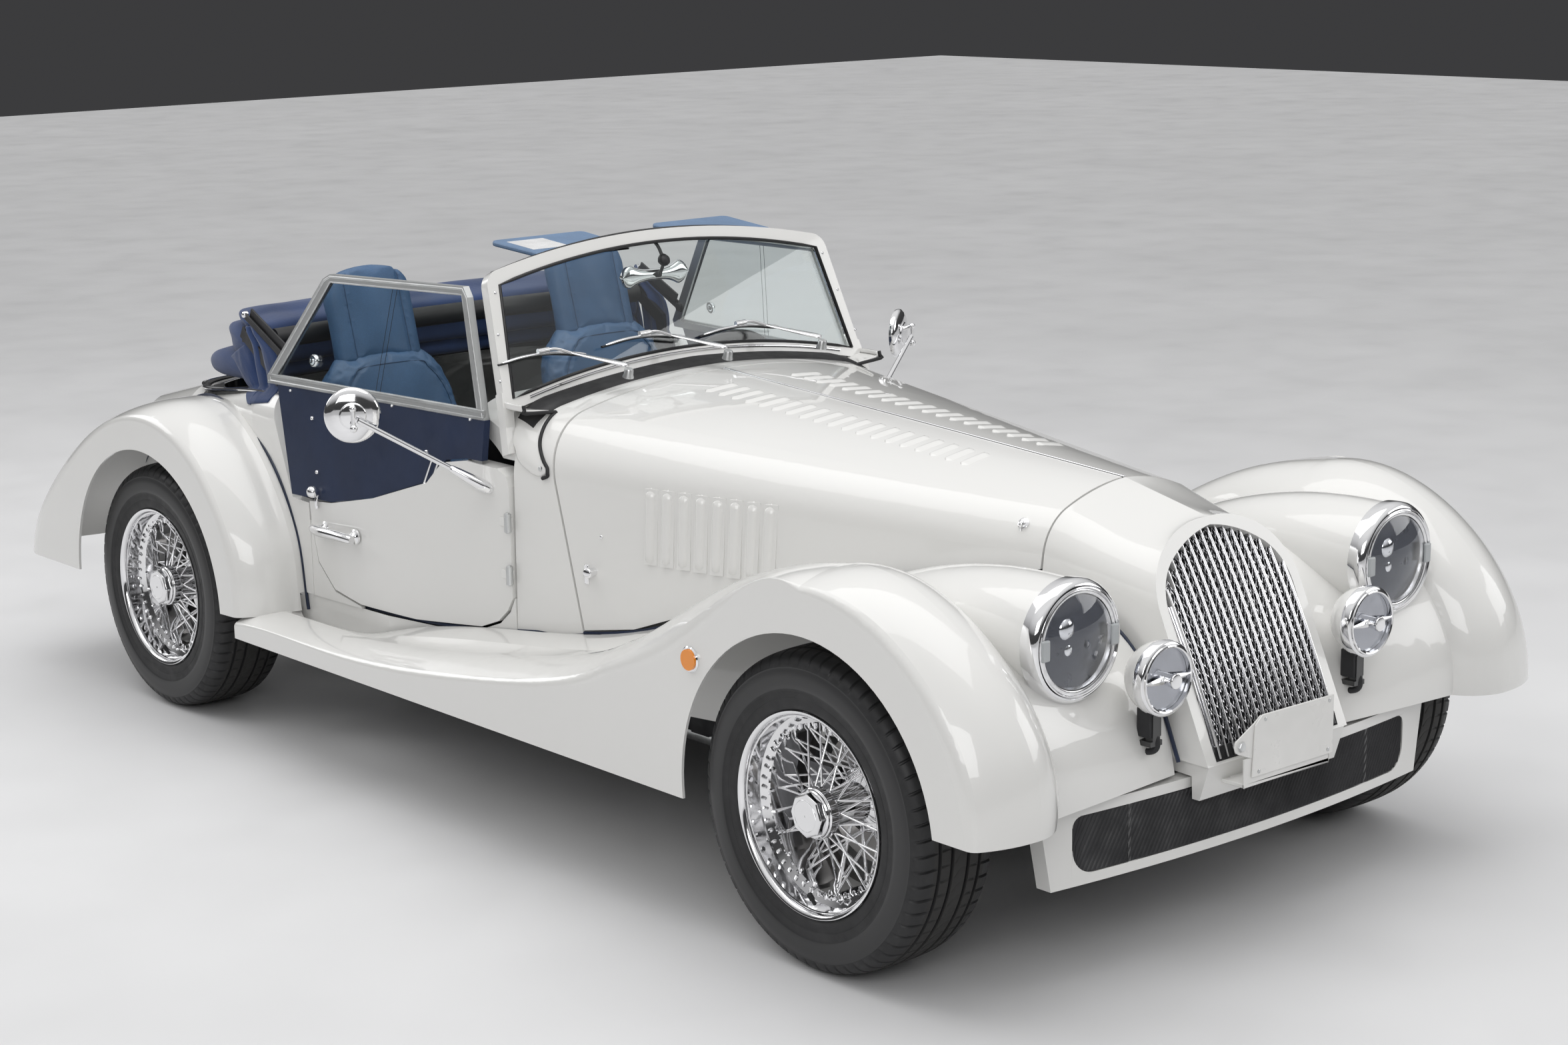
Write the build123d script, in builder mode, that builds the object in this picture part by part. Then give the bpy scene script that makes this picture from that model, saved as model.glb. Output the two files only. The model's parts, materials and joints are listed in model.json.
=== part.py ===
"""Classic two-seat roadster with separate wings, a louvred bonnet and a folded hood.

Millimetres. +Z is up, the front is at -Y and the car's right-hand side is at -X.
The origin lies on the ground, midway between the ends and the sides.
Left-hand pieces are drawn on +X and mirrored to the right.
"""
from build123d import *
from math import atan, cos, degrees, radians, sin
import os

os.makedirs("parts", exist_ok=True)

# ---------------------------------------------------------------- driving dimensions
WHEELBASE = 2520
FRONT_AXLE_Y = -1360
REAR_AXLE_Y = FRONT_AXLE_Y + WHEELBASE
TAIL_Y = 1893                 # rearmost face of the tail
SKIN = 6                      # wing and bonnet panels, with their folded edges
SEAM = 1.0                    # between fixed neighbours that don't touch
RUN_GAP = 6                   # round doors and bonnet halves
WALL = 25                     # body walls

TYRE_R = 313.5
TYRE_WIDTH = 205
RIM_LIP_R = 207.5
BEAD_R = 190.5
WHEEL_X = {"front": 692, "rear": 672}
WHEEL_Z = TYRE_R
SPINDLE_R = 22
FIT = 0.5                     # running fit of shafts and bores

WING_X = 820                  # outer face of all four wings
FRONT_ARCH = dict(y=-1380, z=315, r=355)
REAR_ARCH = dict(y=1125, z=312, r=365)
SILL_Z = 276                  # lower edge of the running board
APRON_Z = 365                 # lower edge of the wings' front

NOSE_SEAM_Y = -1430           # bonnet front edge
BONNET_FRONT_Z = 856
BONNET_REAR_Y = -183          # bonnet rear edge on the centre line
BONNET_REAR_Z = 934
BONNET_LEAN = 12.8            # rear edge leans back, degrees
HINGE_ROD_R = 3

DOOR_FRONT_Y = -104
DOOR_REAR_Y = 596
DOOR_THICK = 45
BODY_X = {-200: 535, 210: 624, 650: 652}    # half width of the body side at each y

RAIL_X = 330
RAIL_Z = 200
RAIL_H = 90
RAIL_W = 50
FLOOR_Z = RAIL_Z + RAIL_H + SEAM
FLOOR_T = 12

SCREEN_Y = -62                # windscreen plane at its reference height
SCREEN_Z = 910
SCREEN_LEAN = 20.1
SCREEN_T = 26

LAMP_X = 467
LAMP_Y = -1735
LAMP_Z = 663
LAMP_R = 114
SPOT_X = 300
SPOT_Y = -1812
SPOT_Z = 574
SPOT_R = 70

SEAT_X = 335

FLOOR_SILL_TOP = 370
BUMPER_Y = -1787
BUMPER_DEPTH = 36
DOOR_PIN_X = 569              # hinge axis, outside the skin at the door's front edge
DOOR_PIN_Y = -106
HINGE_LOW_Z = 525
HINGE_HIGH_Z = 645


def write(name, part):
    """Label a finished piece and write it as one STEP file."""
    part.label = name
    export_step(part, f"parts/{name}.step")


def write_pair(stem, left):
    """Write the left-hand piece and its mirror image on the right."""
    write(f"{stem}_left", left)
    write(f"{stem}_right", mirror(left, about=Plane.YZ))


def both_sides(left):
    """The left-hand solids together with their mirror images."""
    with BuildPart() as pair:
        add(left)
        mirror(left, about=Plane.YZ)
    return pair.part


def largest(part, count=1):
    """The largest solids of a part, without the crumbs that a fitting cut leaves."""
    with BuildPart() as kept:
        for solid in part.solids().sort_by(SortBy.VOLUME)[-count:]:
            add(solid)
    return kept.part


def body_half_width(y):
    """Half width of the body side: straight beside the bonnet, an arc beside the doors."""
    front_y = -200
    if y <= front_y:
        nose_x = 270
        slope = (BODY_X[front_y] - nose_x) / (front_y - NOSE_SEAM_Y)
        return nose_x + slope * (y - NOSE_SEAM_Y)
    (y1, x1), (y2, x2), (y3, x3) = sorted(BODY_X.items())
    return (
        x1 * (y - y2) * (y - y3) / ((y1 - y2) * (y1 - y3))
        + x2 * (y - y1) * (y - y3) / ((y2 - y1) * (y2 - y3))
        + x3 * (y - y1) * (y - y2) / ((y3 - y1) * (y3 - y2))
    )


def side_strip(outset, thickness, y_from, y_to):
    """Plan outline of a panel that follows the body side, drawn in the XY plane."""
    stations = [y_from, (y_from + y_to) / 2, y_to]
    outer = [(body_half_width(y) + outset, y) for y in stations]
    inner = [(body_half_width(y) + outset - thickness, y) for y in stations]
    with BuildLine() as line:
        ThreePointArc(*outer)
        Line(outer[-1], inner[-1])
        ThreePointArc(*reversed(inner))
        Line(inner[0], outer[0])
    return line.line


def slab_between(part_bounds_x, outline):
    """Solid from a closed (y, z) outline, extruded along X over the given range."""
    x_from, x_to = part_bounds_x
    with BuildPart() as slab:
        with BuildSketch(Plane.YZ.offset(x_from)):
            with BuildLine():
                Polyline(*outline, close=True)
            make_face()
        extrude(amount=x_to - x_from)
    return slab.part


# ---------------------------------------------------------------- wings
def shoulder(start, end):
    """Two tangent arcs from a vertical start to a horizontal end, as (x, height) points."""
    width = start[0] - end[0]
    height = end[1] - start[1]
    turn = radians(90) - 1.4 * atan(height / width)
    c, s = cos(turn), sin(turn)
    det = c * s - (1 - c) * (1 - s)
    r_crown = (width * s - height * (1 - c)) / det
    r_edge = (c * height - (1 - s) * width) / det
    joint = (start[0] - r_edge * (1 - c), start[1] + r_edge * s)
    half = turn / 2
    edge_mid = (start[0] - r_edge * (1 - cos(half)), start[1] + r_edge * sin(half))
    rise = (turn + radians(90)) / 2
    crown_mid = (end[0] + r_crown * cos(rise), end[1] - r_crown * (1 - sin(rise)))
    ThreePointArc(start, edge_mid, joint)
    ThreePointArc(joint, crown_mid, end)


def wing_section(plane, base, edge, crown, valley, inner, inset=0):
    """One closed section: outer face, shoulder arcs, crown, valley and inner edge."""
    outer_x = WING_X - inset
    points = {
        "edge": (outer_x, edge - inset / 2),
        "crown": (crown[0], crown[1] - inset),
        "valley": (valley[0], valley[1] - inset),
        "inner": (inner[0] + inset, inner[1] - inset),
    }
    floor = base - 3 * inset
    with BuildSketch(plane) as section:
        with BuildLine():
            Line((outer_x, floor), points["edge"])
            shoulder(points["edge"], points["crown"])
            TangentArc(points["crown"], points["valley"], tangent=(-1, 0))
            Line(points["valley"], points["inner"])
            Line(points["inner"], (points["inner"][0], floor))
            Line((points["inner"][0], floor), (outer_x, floor))
        make_face()
    return section.sketch


def radial_plane(arch, angle):
    """Plane through the arch's axis; its local Y is the radius at this angle from the rear."""
    a = radians(angle)
    return Plane(origin=(0, arch["y"], arch["z"]), x_dir=(1, 0, 0), z_dir=(0, -sin(a), cos(a)))


def cross_plane(y):
    """Plane across the car; its local Y is the height."""
    return Plane(origin=(0, y, 0), x_dir=(1, 0, 0), z_dir=(0, -1, 0))


# angle about the arch axis, base radius, edge radius, crown, valley, inner edge (x, radius)
FRONT_WING_NOSE = [
    (180, 200, 440, (690, 470), (590, 412), (226, 400)),
    (150, 200, 437, (695, 512), (590, 440), (226, 396)),
    (130, 200, 437, (700, 500), (590, 432), (232, 395)),
    (110, 200, 437, (700, 492), (590, 428), (250, 380)),
    (90, 200, 437, (700, 472), (590, 415), (276, 377)),
]
# y, edge height, crown, valley, inner edge (x, height)
FRONT_WING_REST = [
    (-1380, 752, (700, 787), (590, 730), (276, 692)),
    (-1200, 716, (700, 750), (600, 690), (314, 668)),
    (-1040, 592, (700, 684), (605, 630), (348, 634)),
    (-880, 512, (700, 592), (600, 560), (383, 594)),
    (-740, 455, (700, 522), (600, 500), (413, 540)),
    (-600, 415, (700, 468), (610, 456), (443, 490)),
    (-420, 382, (700, 425), (625, 424), (482, 436)),
    (-200, 350, (708, 389), (645, 400), (529, 406)),
    (100, 320, (720, 353), (670, 364), (600, 378)),
    (695, 304, (730, 334), (695, 342), (646, 360)),
]
REST_SPLIT = 4                # the lofts over and behind the arch share this row


def front_wing_solid(inset=0):
    with BuildPart() as wing:
        for angle, base, edge, crown, valley, inner in FRONT_WING_NOSE:
            add(wing_section(radial_plane(FRONT_ARCH, angle), base, edge, crown, valley, inner, inset))
        loft()
        for rows in (FRONT_WING_REST[:REST_SPLIT + 1], FRONT_WING_REST[REST_SPLIT:]):
            for y, edge, crown, valley, inner in rows:
                add(wing_section(cross_plane(y), SILL_Z, edge, crown, valley, inner, inset))
            loft()
    return wing.part


# the rear wing: angle about its arch axis, base, edge, crown, valley, inner edge (x, radius)
REAR_WING = [
    (178, 200, 425, (705, 486), (675, 492), (640, 493)),
    (155, 200, 432, (702, 496), (672, 502), (640, 503)),
    (130, 200, 440, (700, 502), (670, 508), (636, 510)),
    (100, 200, 440, (700, 496), (660, 497), (620, 492)),
    (75, 200, 436, (700, 474), (650, 473), (600, 464)),
    (48, 200, 446, (700, 508), (640, 502), (570, 480)),
    (26, 200, 500, (690, 585), (630, 575), (535, 540)),
    (10, 200, 570, (675, 690), (610, 680), (500, 650)),
    (0, 200, 600, (665, 742), (600, 735), (470, 715)),
]


def rear_wing_solid(inset=0):
    with BuildPart() as wing:
        for angle, base, edge, crown, valley, inner in REAR_WING:
            add(wing_section(radial_plane(REAR_ARCH, angle), base, edge, crown, valley, inner, inset))
        loft()
    return wing.part


# ---------------------------------------------------------------- body shell sections
def arch_section(plane, low, side, haunch, top):
    """Closed symmetric section: side lines, haunch arcs and a flat arched top."""
    with BuildSketch(plane) as section:
        with BuildLine():
            Line(low, side)
            tangent = (side[0] - low[0], side[1] - low[1])
            bend = TangentArc(side, haunch, tangent=tangent)
            TangentArc(haunch, (0, top), tangent=bend % 1)
            mirror(about=Plane.YZ)
            Line(low, (-low[0], low[1]))
        make_face()
    return section.sketch


# section of the bonnet and scuttle: low, side and haunch points (x, z) and top
BONNET_FRONT = dict(low=(270, 600), side=(230, 735), haunch=(165, 818), top=BONNET_FRONT_Z)
BONNET_REAR_PLANE_Y = -150
BONNET_REAR = dict(low=(546, 380), side=(540, 745), haunch=(420, 893), top=BONNET_REAR_Z + 2)
SCUTTLE_REAR_Y = 40
SCUTTLE_SHOULDER_X = 535      # behind the door's front edge the scuttle is this wide
SCUTTLE_REAR = dict(low=(592, 380), side=(586, 770), haunch=(455, 905), top=944)


def shrink(section, by):
    """The same section moved inwards by a wall."""
    return dict(
        low=(section["low"][0] - by, section["low"][1] - 100),
        side=(section["side"][0] - by, section["side"][1] - by / 3),
        haunch=(section["haunch"][0] - by * 0.7, section["haunch"][1] - by * 0.8),
        top=section["top"] - by,
    )


def bonnet_loft(inset=0):
    with BuildPart() as shell:
        add(arch_section(cross_plane(NOSE_SEAM_Y), **shrink(BONNET_FRONT, inset)))
        add(arch_section(cross_plane(BONNET_REAR_PLANE_Y), **shrink(BONNET_REAR, inset)))
        loft(ruled=True)
    return shell.part


def scuttle_loft(inset=0):
    with BuildPart() as shell:
        front_y = BONNET_REAR_PLANE_Y - 200
        share = (front_y - NOSE_SEAM_Y) / (BONNET_REAR_PLANE_Y - NOSE_SEAM_Y)

        def between(key):
            a, b = BONNET_FRONT[key], BONNET_REAR[key]
            if key == "top":
                return a + share * (b - a)
            return tuple(p + share * (q - p) for p, q in zip(a, b))

        front = {key: between(key) for key in BONNET_FRONT}
        add(arch_section(cross_plane(front_y), **shrink(front, inset)))
        add(arch_section(cross_plane(BONNET_REAR_PLANE_Y), **shrink(BONNET_REAR, inset)))
        add(arch_section(cross_plane(SCUTTLE_REAR_Y), **shrink(SCUTTLE_REAR, inset)))
        loft(ruled=True)
    return shell.part


def behind_bonnet(gap):
    """Everything behind the bonnet's leaning rear edge, moved back by the gap."""
    lean = Plane(origin=(0, BONNET_REAR_Y + gap, BONNET_REAR_Z), x_dir=(1, 0, 0),
                 z_dir=(0, cos(radians(BONNET_LEAN)), -sin(radians(BONNET_LEAN))))
    with BuildPart() as space:
        with BuildSketch(lean):
            Rectangle(3000, 3000)
        extrude(amount=2500)
    return space.part


def block(x, y, z):
    """Box from three (low, high) ranges."""
    size = [high - low for low, high in (x, y, z)]
    middle = [(high + low) / 2 for low, high in (x, y, z)]
    with BuildPart() as box:
        with Locations(tuple(middle)):
            Box(*size)
    return box.part


def disc(x, y, z, radius):
    """Cylinder along X over the (low, high) range x, centred on y and z."""
    with BuildPart() as cylinder:
        with BuildSketch(Plane.YZ.offset(x[0])):
            with Locations((y, z)):
                Circle(radius)
        extrude(amount=x[1] - x[0])
    return cylinder.part


# ---------------------------------------------------------------- cowl and grille
GRILLE_FOOT = (-1835, 387)       # y, z of the grille's lower edge
GRILLE_HEAD = (-1655, 790)
GRILLE_LEAN = degrees(atan((GRILLE_HEAD[0] - GRILLE_FOOT[0]) / (GRILLE_HEAD[1] - GRILLE_FOOT[1])))
GRILLE_HALF = 182
GRILLE_TOP = 446
GRILLE_BARS = 17
GRILLE_DEPTH = 40
GRILLE_RIM = 11
grille_plane = Plane(origin=(0, GRILLE_FOOT[0], GRILLE_FOOT[1]), x_dir=(1, 0, 0),
                     z_dir=(0, -cos(radians(GRILLE_LEAN)), sin(radians(GRILLE_LEAN))))


def grille_prism(inset, front, back):
    """Block of the grille's outline, in from the cowl's lip by the inset, between two depths."""
    half = GRILLE_HALF - inset
    foot = 8 + inset
    with BuildPart() as prism:
        with BuildSketch(grille_plane.offset(-front)):
            with BuildLine():
                Line((half - 6, foot), (half, 290))
                bend = TangentArc((half, 290), (half - 52, 396 - inset * 0.5), tangent=(0.05, 1))
                TangentArc(bend @ 1, (0, GRILLE_TOP - inset), tangent=bend % 1)
                mirror(about=Plane.YZ)
                Line((half - 6, foot), (6 - half, foot))
            make_face()
        extrude(amount=front - back)
    return prism.part


with BuildPart() as cowl_solid:
    add(arch_section(cross_plane(NOSE_SEAM_Y - 2), low=(268, 480), side=(230, 735), haunch=(165, 818),
                     top=BONNET_FRONT_Z))
    add(arch_section(cross_plane(-1570), low=(236, 420), side=(214, 700), haunch=(150, 782), top=826))
    add(arch_section(grille_plane, low=(206, 0), side=(205, 300), haunch=(140, 424), top=462))
    loft()

with BuildPart() as cowl:
    add(cowl_solid.part)
    # chin in front of the bumper
    add(slab_between((-200, 200), [(-1834, 390), (-1810, 316), (-1792, 316), (-1790, 360), (-1740, 362),
                                   (-1690, 400), (-1740, 440)]))
    # pocket for the grille
    add(grille_prism(0, -20, GRILLE_DEPTH + SEAM), mode=Mode.SUBTRACT)
    # hollow behind the radiator wall, open to the rear and below
    add(block((-165, 165), (NOSE_SEAM_Y - 90, NOSE_SEAM_Y + 10), (300, 735)), mode=Mode.SUBTRACT)
write("cowl", cowl.part)

BAR_PITCH = 2 * (GRILLE_HALF - GRILLE_RIM) / (GRILLE_BARS + 1)
BAR_T = 5
with BuildPart(grille_plane.offset(-GRILLE_DEPTH / 2)) as grille_slats:
    with Locations(*[((index - GRILLE_BARS // 2) * BAR_PITCH, 225, 0) for index in range(GRILLE_BARS)]):
        Box(BAR_T, 480, GRILLE_DEPTH)

with BuildPart() as grille_bars:
    add(grille_prism(GRILLE_RIM - 3, 6, GRILLE_DEPTH - 2))
    add(grille_slats.part, mode=Mode.INTERSECT)

with BuildPart() as grille:
    add(grille_prism(SEAM, 0, GRILLE_DEPTH))
    add(grille_prism(GRILLE_RIM, -5, GRILLE_DEPTH - 3), mode=Mode.SUBTRACT)
    add(grille_bars.part)
write("grille", grille.part)

# ---------------------------------------------------------------- bonnet, in two halves
# lower edge of the bonnet side, (y, z) from the nose to the rear
BONNET_EDGE = [(-1440, 716), (-1184, 674), (-900, 606), (-700, 540), (-440, 446), (-300, 424), (-240, 420)]
LOUVRE_COUNT = 8
LOUVRE_FRONT_Y = -797
LOUVRE_REAR_Y = -490
LOUVRE_LOW_Z = 596
LOUVRE_HIGH_Z = 762
LOUVRE_OUT = 7
LOUVRE_HALF = 14              # half length of one louvre along the car
LOUVRE_PITCH = (LOUVRE_REAR_Y - LOUVRE_FRONT_Y) / (LOUVRE_COUNT - 1)


def bonnet_side_x(y, z):
    """Half width of the bonnet's flat side at a station and height."""
    share = (y - NOSE_SEAM_Y) / (BONNET_REAR_PLANE_Y - NOSE_SEAM_Y)
    low, side = (
        [a + share * (b - a) for a, b in zip(BONNET_FRONT[key], BONNET_REAR[key])] for key in ("low", "side")
    )
    return low[0] + (side[0] - low[0]) * (z - low[1]) / (side[1] - low[1])


def louvre_wedge(y):
    """One pressed louvre, flush with the bonnet side in front and standing out behind."""
    with BuildPart() as louvre:
        for z in (LOUVRE_LOW_Z, LOUVRE_HIGH_Z):
            front_y, rear_y = y - LOUVRE_HALF, y + LOUVRE_HALF
            front_x, rear_x = bonnet_side_x(front_y, z), bonnet_side_x(rear_y, z)
            with BuildSketch(Plane.XY.offset(z)):
                Polygon((front_x - 3, front_y), (front_x, front_y),
                        (rear_x + LOUVRE_OUT, rear_y), (rear_x - 3, rear_y),
                        align=None)
        loft(ruled=True)
    return louvre.part


below_bonnet = slab_between(
    (-900, 900), [(-1500, 100)] + [(-1500, BONNET_EDGE[0][1])] + BONNET_EDGE[1:] + [(-100, 416), (-100, 100)]
)

with BuildPart() as bonnet_shell:
    add(bonnet_loft())
    add(bonnet_loft(SKIN), mode=Mode.SUBTRACT)
    add(below_bonnet, mode=Mode.SUBTRACT)
    add(behind_bonnet(-RUN_GAP / 2), mode=Mode.SUBTRACT)
    # running gap to the cowl
    add(block((-400, 400), (NOSE_SEAM_Y - 10, NOSE_SEAM_Y + RUN_GAP / 2), (400, 900)), mode=Mode.SUBTRACT)

with BuildPart() as bonnet_left:
    add(bonnet_shell.part)
    add(block((-900, HINGE_ROD_R + 0.8), (-1500, 0), (300, 1000)), mode=Mode.SUBTRACT)
    # pressed side louvres
    for index in range(LOUVRE_COUNT):
        add(louvre_wedge(LOUVRE_FRONT_Y + index * LOUVRE_PITCH))
write_pair("bonnet", bonnet_left.part)

HINGE_SLOPE = (BONNET_REAR_Z - BONNET_FRONT_Z) / (BONNET_REAR_Y - NOSE_SEAM_Y)
with BuildPart() as bonnet_hinge:
    hinge_foot = (0, NOSE_SEAM_Y, BONNET_FRONT_Z)
    hinge_dir = (0, 1, HINGE_SLOPE)
    with BuildSketch(Plane(origin=hinge_foot, z_dir=hinge_dir)):
        Circle(HINGE_ROD_R)
    extrude(amount=BONNET_REAR_Y - NOSE_SEAM_Y + 2)
    add(cowl.part, mode=Mode.SUBTRACT)

# ---------------------------------------------------------------- scuttle
with BuildPart() as scuttle_solid:
    add(scuttle_loft())
    add(behind_bonnet(RUN_GAP / 2), mode=Mode.INTERSECT)
    # the door aperture
    add(block((-900, 900), (DOOR_FRONT_Y - RUN_GAP, 200), (300, 780)), mode=Mode.SUBTRACT)
    for sign in (-1, 1):
        near, far = sorted((sign * SCUTTLE_SHOULDER_X, sign * 900))
        add(block((near, far), (DOOR_FRONT_Y - RUN_GAP, 200), (300, 900)), mode=Mode.SUBTRACT)
    add(block((-900, 900), (-600, 200), (100, FLOOR_SILL_TOP)), mode=Mode.SUBTRACT)

with BuildPart() as scuttle_inside:
    add(scuttle_loft(WALL))
    add(behind_bonnet(RUN_GAP / 2 + WALL), mode=Mode.INTERSECT)

with BuildPart() as scuttle:
    add(scuttle_solid.part)
    add(scuttle_inside.part, mode=Mode.SUBTRACT)
write("scuttle", scuttle.part)
with BuildPart() as bonnet_rod:
    add(bonnet_hinge.part)
    add(scuttle.part, mode=Mode.SUBTRACT)
write("bonnet_hinge", bonnet_rod.part)

# ---------------------------------------------------------------- rear body
REAR_FACE_Y = TAIL_Y - 18     # flat face that carries the rear plate
# profile of the rear body in (y, z), from the foot of the door's rear edge round the tail
REAR_PROFILE = [
    (DOOR_REAR_Y + RUN_GAP, FLOOR_SILL_TOP + 1), (DOOR_REAR_Y + RUN_GAP, 598),
    (676, 600), (766, 842), (812, 858),
    (1000, 850), (1250, 808), (1430, 782), (1540, 754), (1620, 717), (1750, 622), (1835, 500),
    (REAR_FACE_Y, 380), (REAR_FACE_Y, 300), (700, 300), (690, FLOOR_SILL_TOP + 1),
]
# y, half width and top height of the rear body's cross sections
REAR_SECTIONS = [(590, 651, 866), (850, 650, 860), (1250, 610, 812), (1600, 545, 735), (1760, 505, 624),
                 (TAIL_Y, 462, 400)]
COCKPIT_END_Y = 1180


def rear_loft(inset=0):
    with BuildPart() as shell:
        for y, half, top in REAR_SECTIONS:
            w = half - inset
            high = top - inset
            add(arch_section(cross_plane(y), low=(w, 250 - 4 * inset), side=(w, high - 90),
                             haunch=(w - 70, high - 12), top=high))
        loft(ruled=True)
    return shell.part


with BuildPart() as rear_solid:
    add(rear_loft())
    add(slab_between((-900, 900), REAR_PROFILE), mode=Mode.INTERSECT)

with BuildPart() as rear_inside:
    add(rear_loft(WALL))
    add(block((-900, 900), (500, TAIL_Y - 70), (100, 1000)), mode=Mode.INTERSECT)


def wheel_house(x):
    """Thick disc over the rear wheel, inside the body side, over the (low, high) range x."""
    with BuildPart() as house:
        add(disc(x, REAR_ARCH["y"], REAR_ARCH["z"], REAR_ARCH["r"] + 40))
        add(rear_solid.part, mode=Mode.INTERSECT)
    return house.part


with BuildPart() as rear_body:
    add(rear_solid.part)
    add(rear_inside.part, mode=Mode.SUBTRACT)
    # open cockpit
    with BuildSketch(Plane.XY.offset(500)):
        with Locations((0, (500 + COCKPIT_END_Y) / 2)):
            RectangleRounded(2 * 585, COCKPIT_END_Y - 500, 120)
    extrude(amount=500, mode=Mode.SUBTRACT)
    # wheel houses
    for sign in (-1, 1):
        add(wheel_house(sorted((sign * 505, sign * 640))))
        near, far = sorted((sign * 525, sign * 900))
        add(disc((near, far), REAR_ARCH["y"], REAR_ARCH["z"], REAR_ARCH["r"] + 20), mode=Mode.SUBTRACT)
    # the axle passes below the wheel houses' inner walls
    add(block((-560, 560), (REAR_ARCH["y"] - 420, REAR_ARCH["y"] + 420), (200, 470)), mode=Mode.SUBTRACT)
    # boot floor
    add(block((-480, 480), (1010, TAIL_Y - 68), (RAIL_Z + 262, RAIL_Z + 274)))
write("rear_body", rear_body.part)

# ---------------------------------------------------------------- wings
# y, z and radius of the headlamp nacelle, which tapers rearwards into the valley
NACELLE_ROWS = [(LAMP_Y + 22, LAMP_Z, LAMP_R - 4), (-1600, LAMP_Z - 2, LAMP_R), (-1150, 596, 62)]
with BuildPart() as nacelle:
    for y, z, radius in NACELLE_ROWS:
        with BuildSketch(cross_plane(y)):
            with Locations((LAMP_X, z)):
                Circle(radius)
    loft()

with BuildPart() as front_wing:
    add(front_wing_solid())
    add(front_wing_solid(SKIN), mode=Mode.SUBTRACT)
    add(nacelle.part)
    add(disc((380, 900), FRONT_ARCH["y"], FRONT_ARCH["z"], FRONT_ARCH["r"]), mode=Mode.SUBTRACT)
    add(block((0, 900), (-2200, -1500), (100, APRON_Z)), mode=Mode.SUBTRACT)
    add(block((0, RAIL_X + RAIL_W / 2 + 20), (-1400, -800), (100, RAIL_Z + RAIL_H + 5)), mode=Mode.SUBTRACT)
    add(cowl_solid.part, mode=Mode.SUBTRACT)
    # body side
    with BuildSketch(Plane.XY.offset(200)):
        stations = [-350, -120, 100, 400, 700]
        with BuildLine():
            Polyline(*[(body_half_width(y) + SEAM, y) for y in stations], (0, 700), (0, -350), close=True)
        make_face()
    extrude(amount=500, mode=Mode.SUBTRACT)
write_pair("front_wing", largest(front_wing.part))

REAR_WING_FOOT_Z = FLOOR_SILL_TOP + 2      # the wing's front skin stands on the running board here
REAR_WING_FOOT_X = 668
with BuildPart() as rear_wing:
    add(rear_wing_solid())
    add(rear_wing_solid(SKIN), mode=Mode.SUBTRACT)
    add(disc((500, 900), REAR_ARCH["y"], REAR_ARCH["z"], REAR_ARCH["r"]), mode=Mode.SUBTRACT)
    add(rear_solid.part, mode=Mode.SUBTRACT)
    add(block((0, 900), (500, 2200), (0, SILL_Z)), mode=Mode.SUBTRACT)
    add(block((0, REAR_WING_FOOT_X), (500, 697), (0, REAR_WING_FOOT_Z)), mode=Mode.SUBTRACT)
    add(block((REAR_WING_FOOT_X, 900), (500, 697), (0, 290)), mode=Mode.SUBTRACT)
    add(front_wing.part, mode=Mode.SUBTRACT)
write_pair("rear_wing", largest(rear_wing.part))

# ---------------------------------------------------------------- floor, sills and chassis
TUNNEL_HALF = 110
TUNNEL_H = 190
FLOOR_FRONT_Y = -330
FLOOR_REAR_Y = 1000
with BuildPart() as body_floor:
    # flat floor between the sills
    with BuildSketch(Plane.XY.offset(FLOOR_Z)):
        with BuildLine():
            stations = [-300, 0, 300, 690]
            side = [(body_half_width(y) - 2, y) for y in stations]
            Polyline(*side, (560, 700), (560, 745), (-560, 745), (-560, 700),
                     *[(-x, y) for x, y in reversed(side)], close=True)
        make_face()
    extrude(amount=FLOOR_T)
    # sills below the doors
    for sign in (-1, 1):
        with BuildSketch(Plane.XY.offset(FLOOR_Z)):
            with BuildLine():
                outer = [(sign * (body_half_width(y) - 2), y) for y in stations]
                inner = [(sign * (body_half_width(y) - 60), y) for y in stations]
                Polyline(*outer, *reversed(inner), close=True)
            make_face()
        extrude(amount=FLOOR_SILL_TOP - FLOOR_Z)
    # tunnel over the gearbox and shaft
    add(block((-TUNNEL_HALF, TUNNEL_HALF), (FLOOR_FRONT_Y + 30, 745), (FLOOR_Z, FLOOR_Z + TUNNEL_H)))
    add(block((-TUNNEL_HALF + 12, TUNNEL_HALF - 12), (FLOOR_FRONT_Y, 800),
              (FLOOR_Z - 10, FLOOR_Z + TUNNEL_H - 12)),
        mode=Mode.SUBTRACT)
    # bulkhead behind the seats
    add(block((-570, 570), (733, 745), (FLOOR_Z, 560)))
    add(scuttle.part, mode=Mode.SUBTRACT)
    add(rear_body.part, mode=Mode.SUBTRACT)
write("body_floor", largest(body_floor.part))

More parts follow.
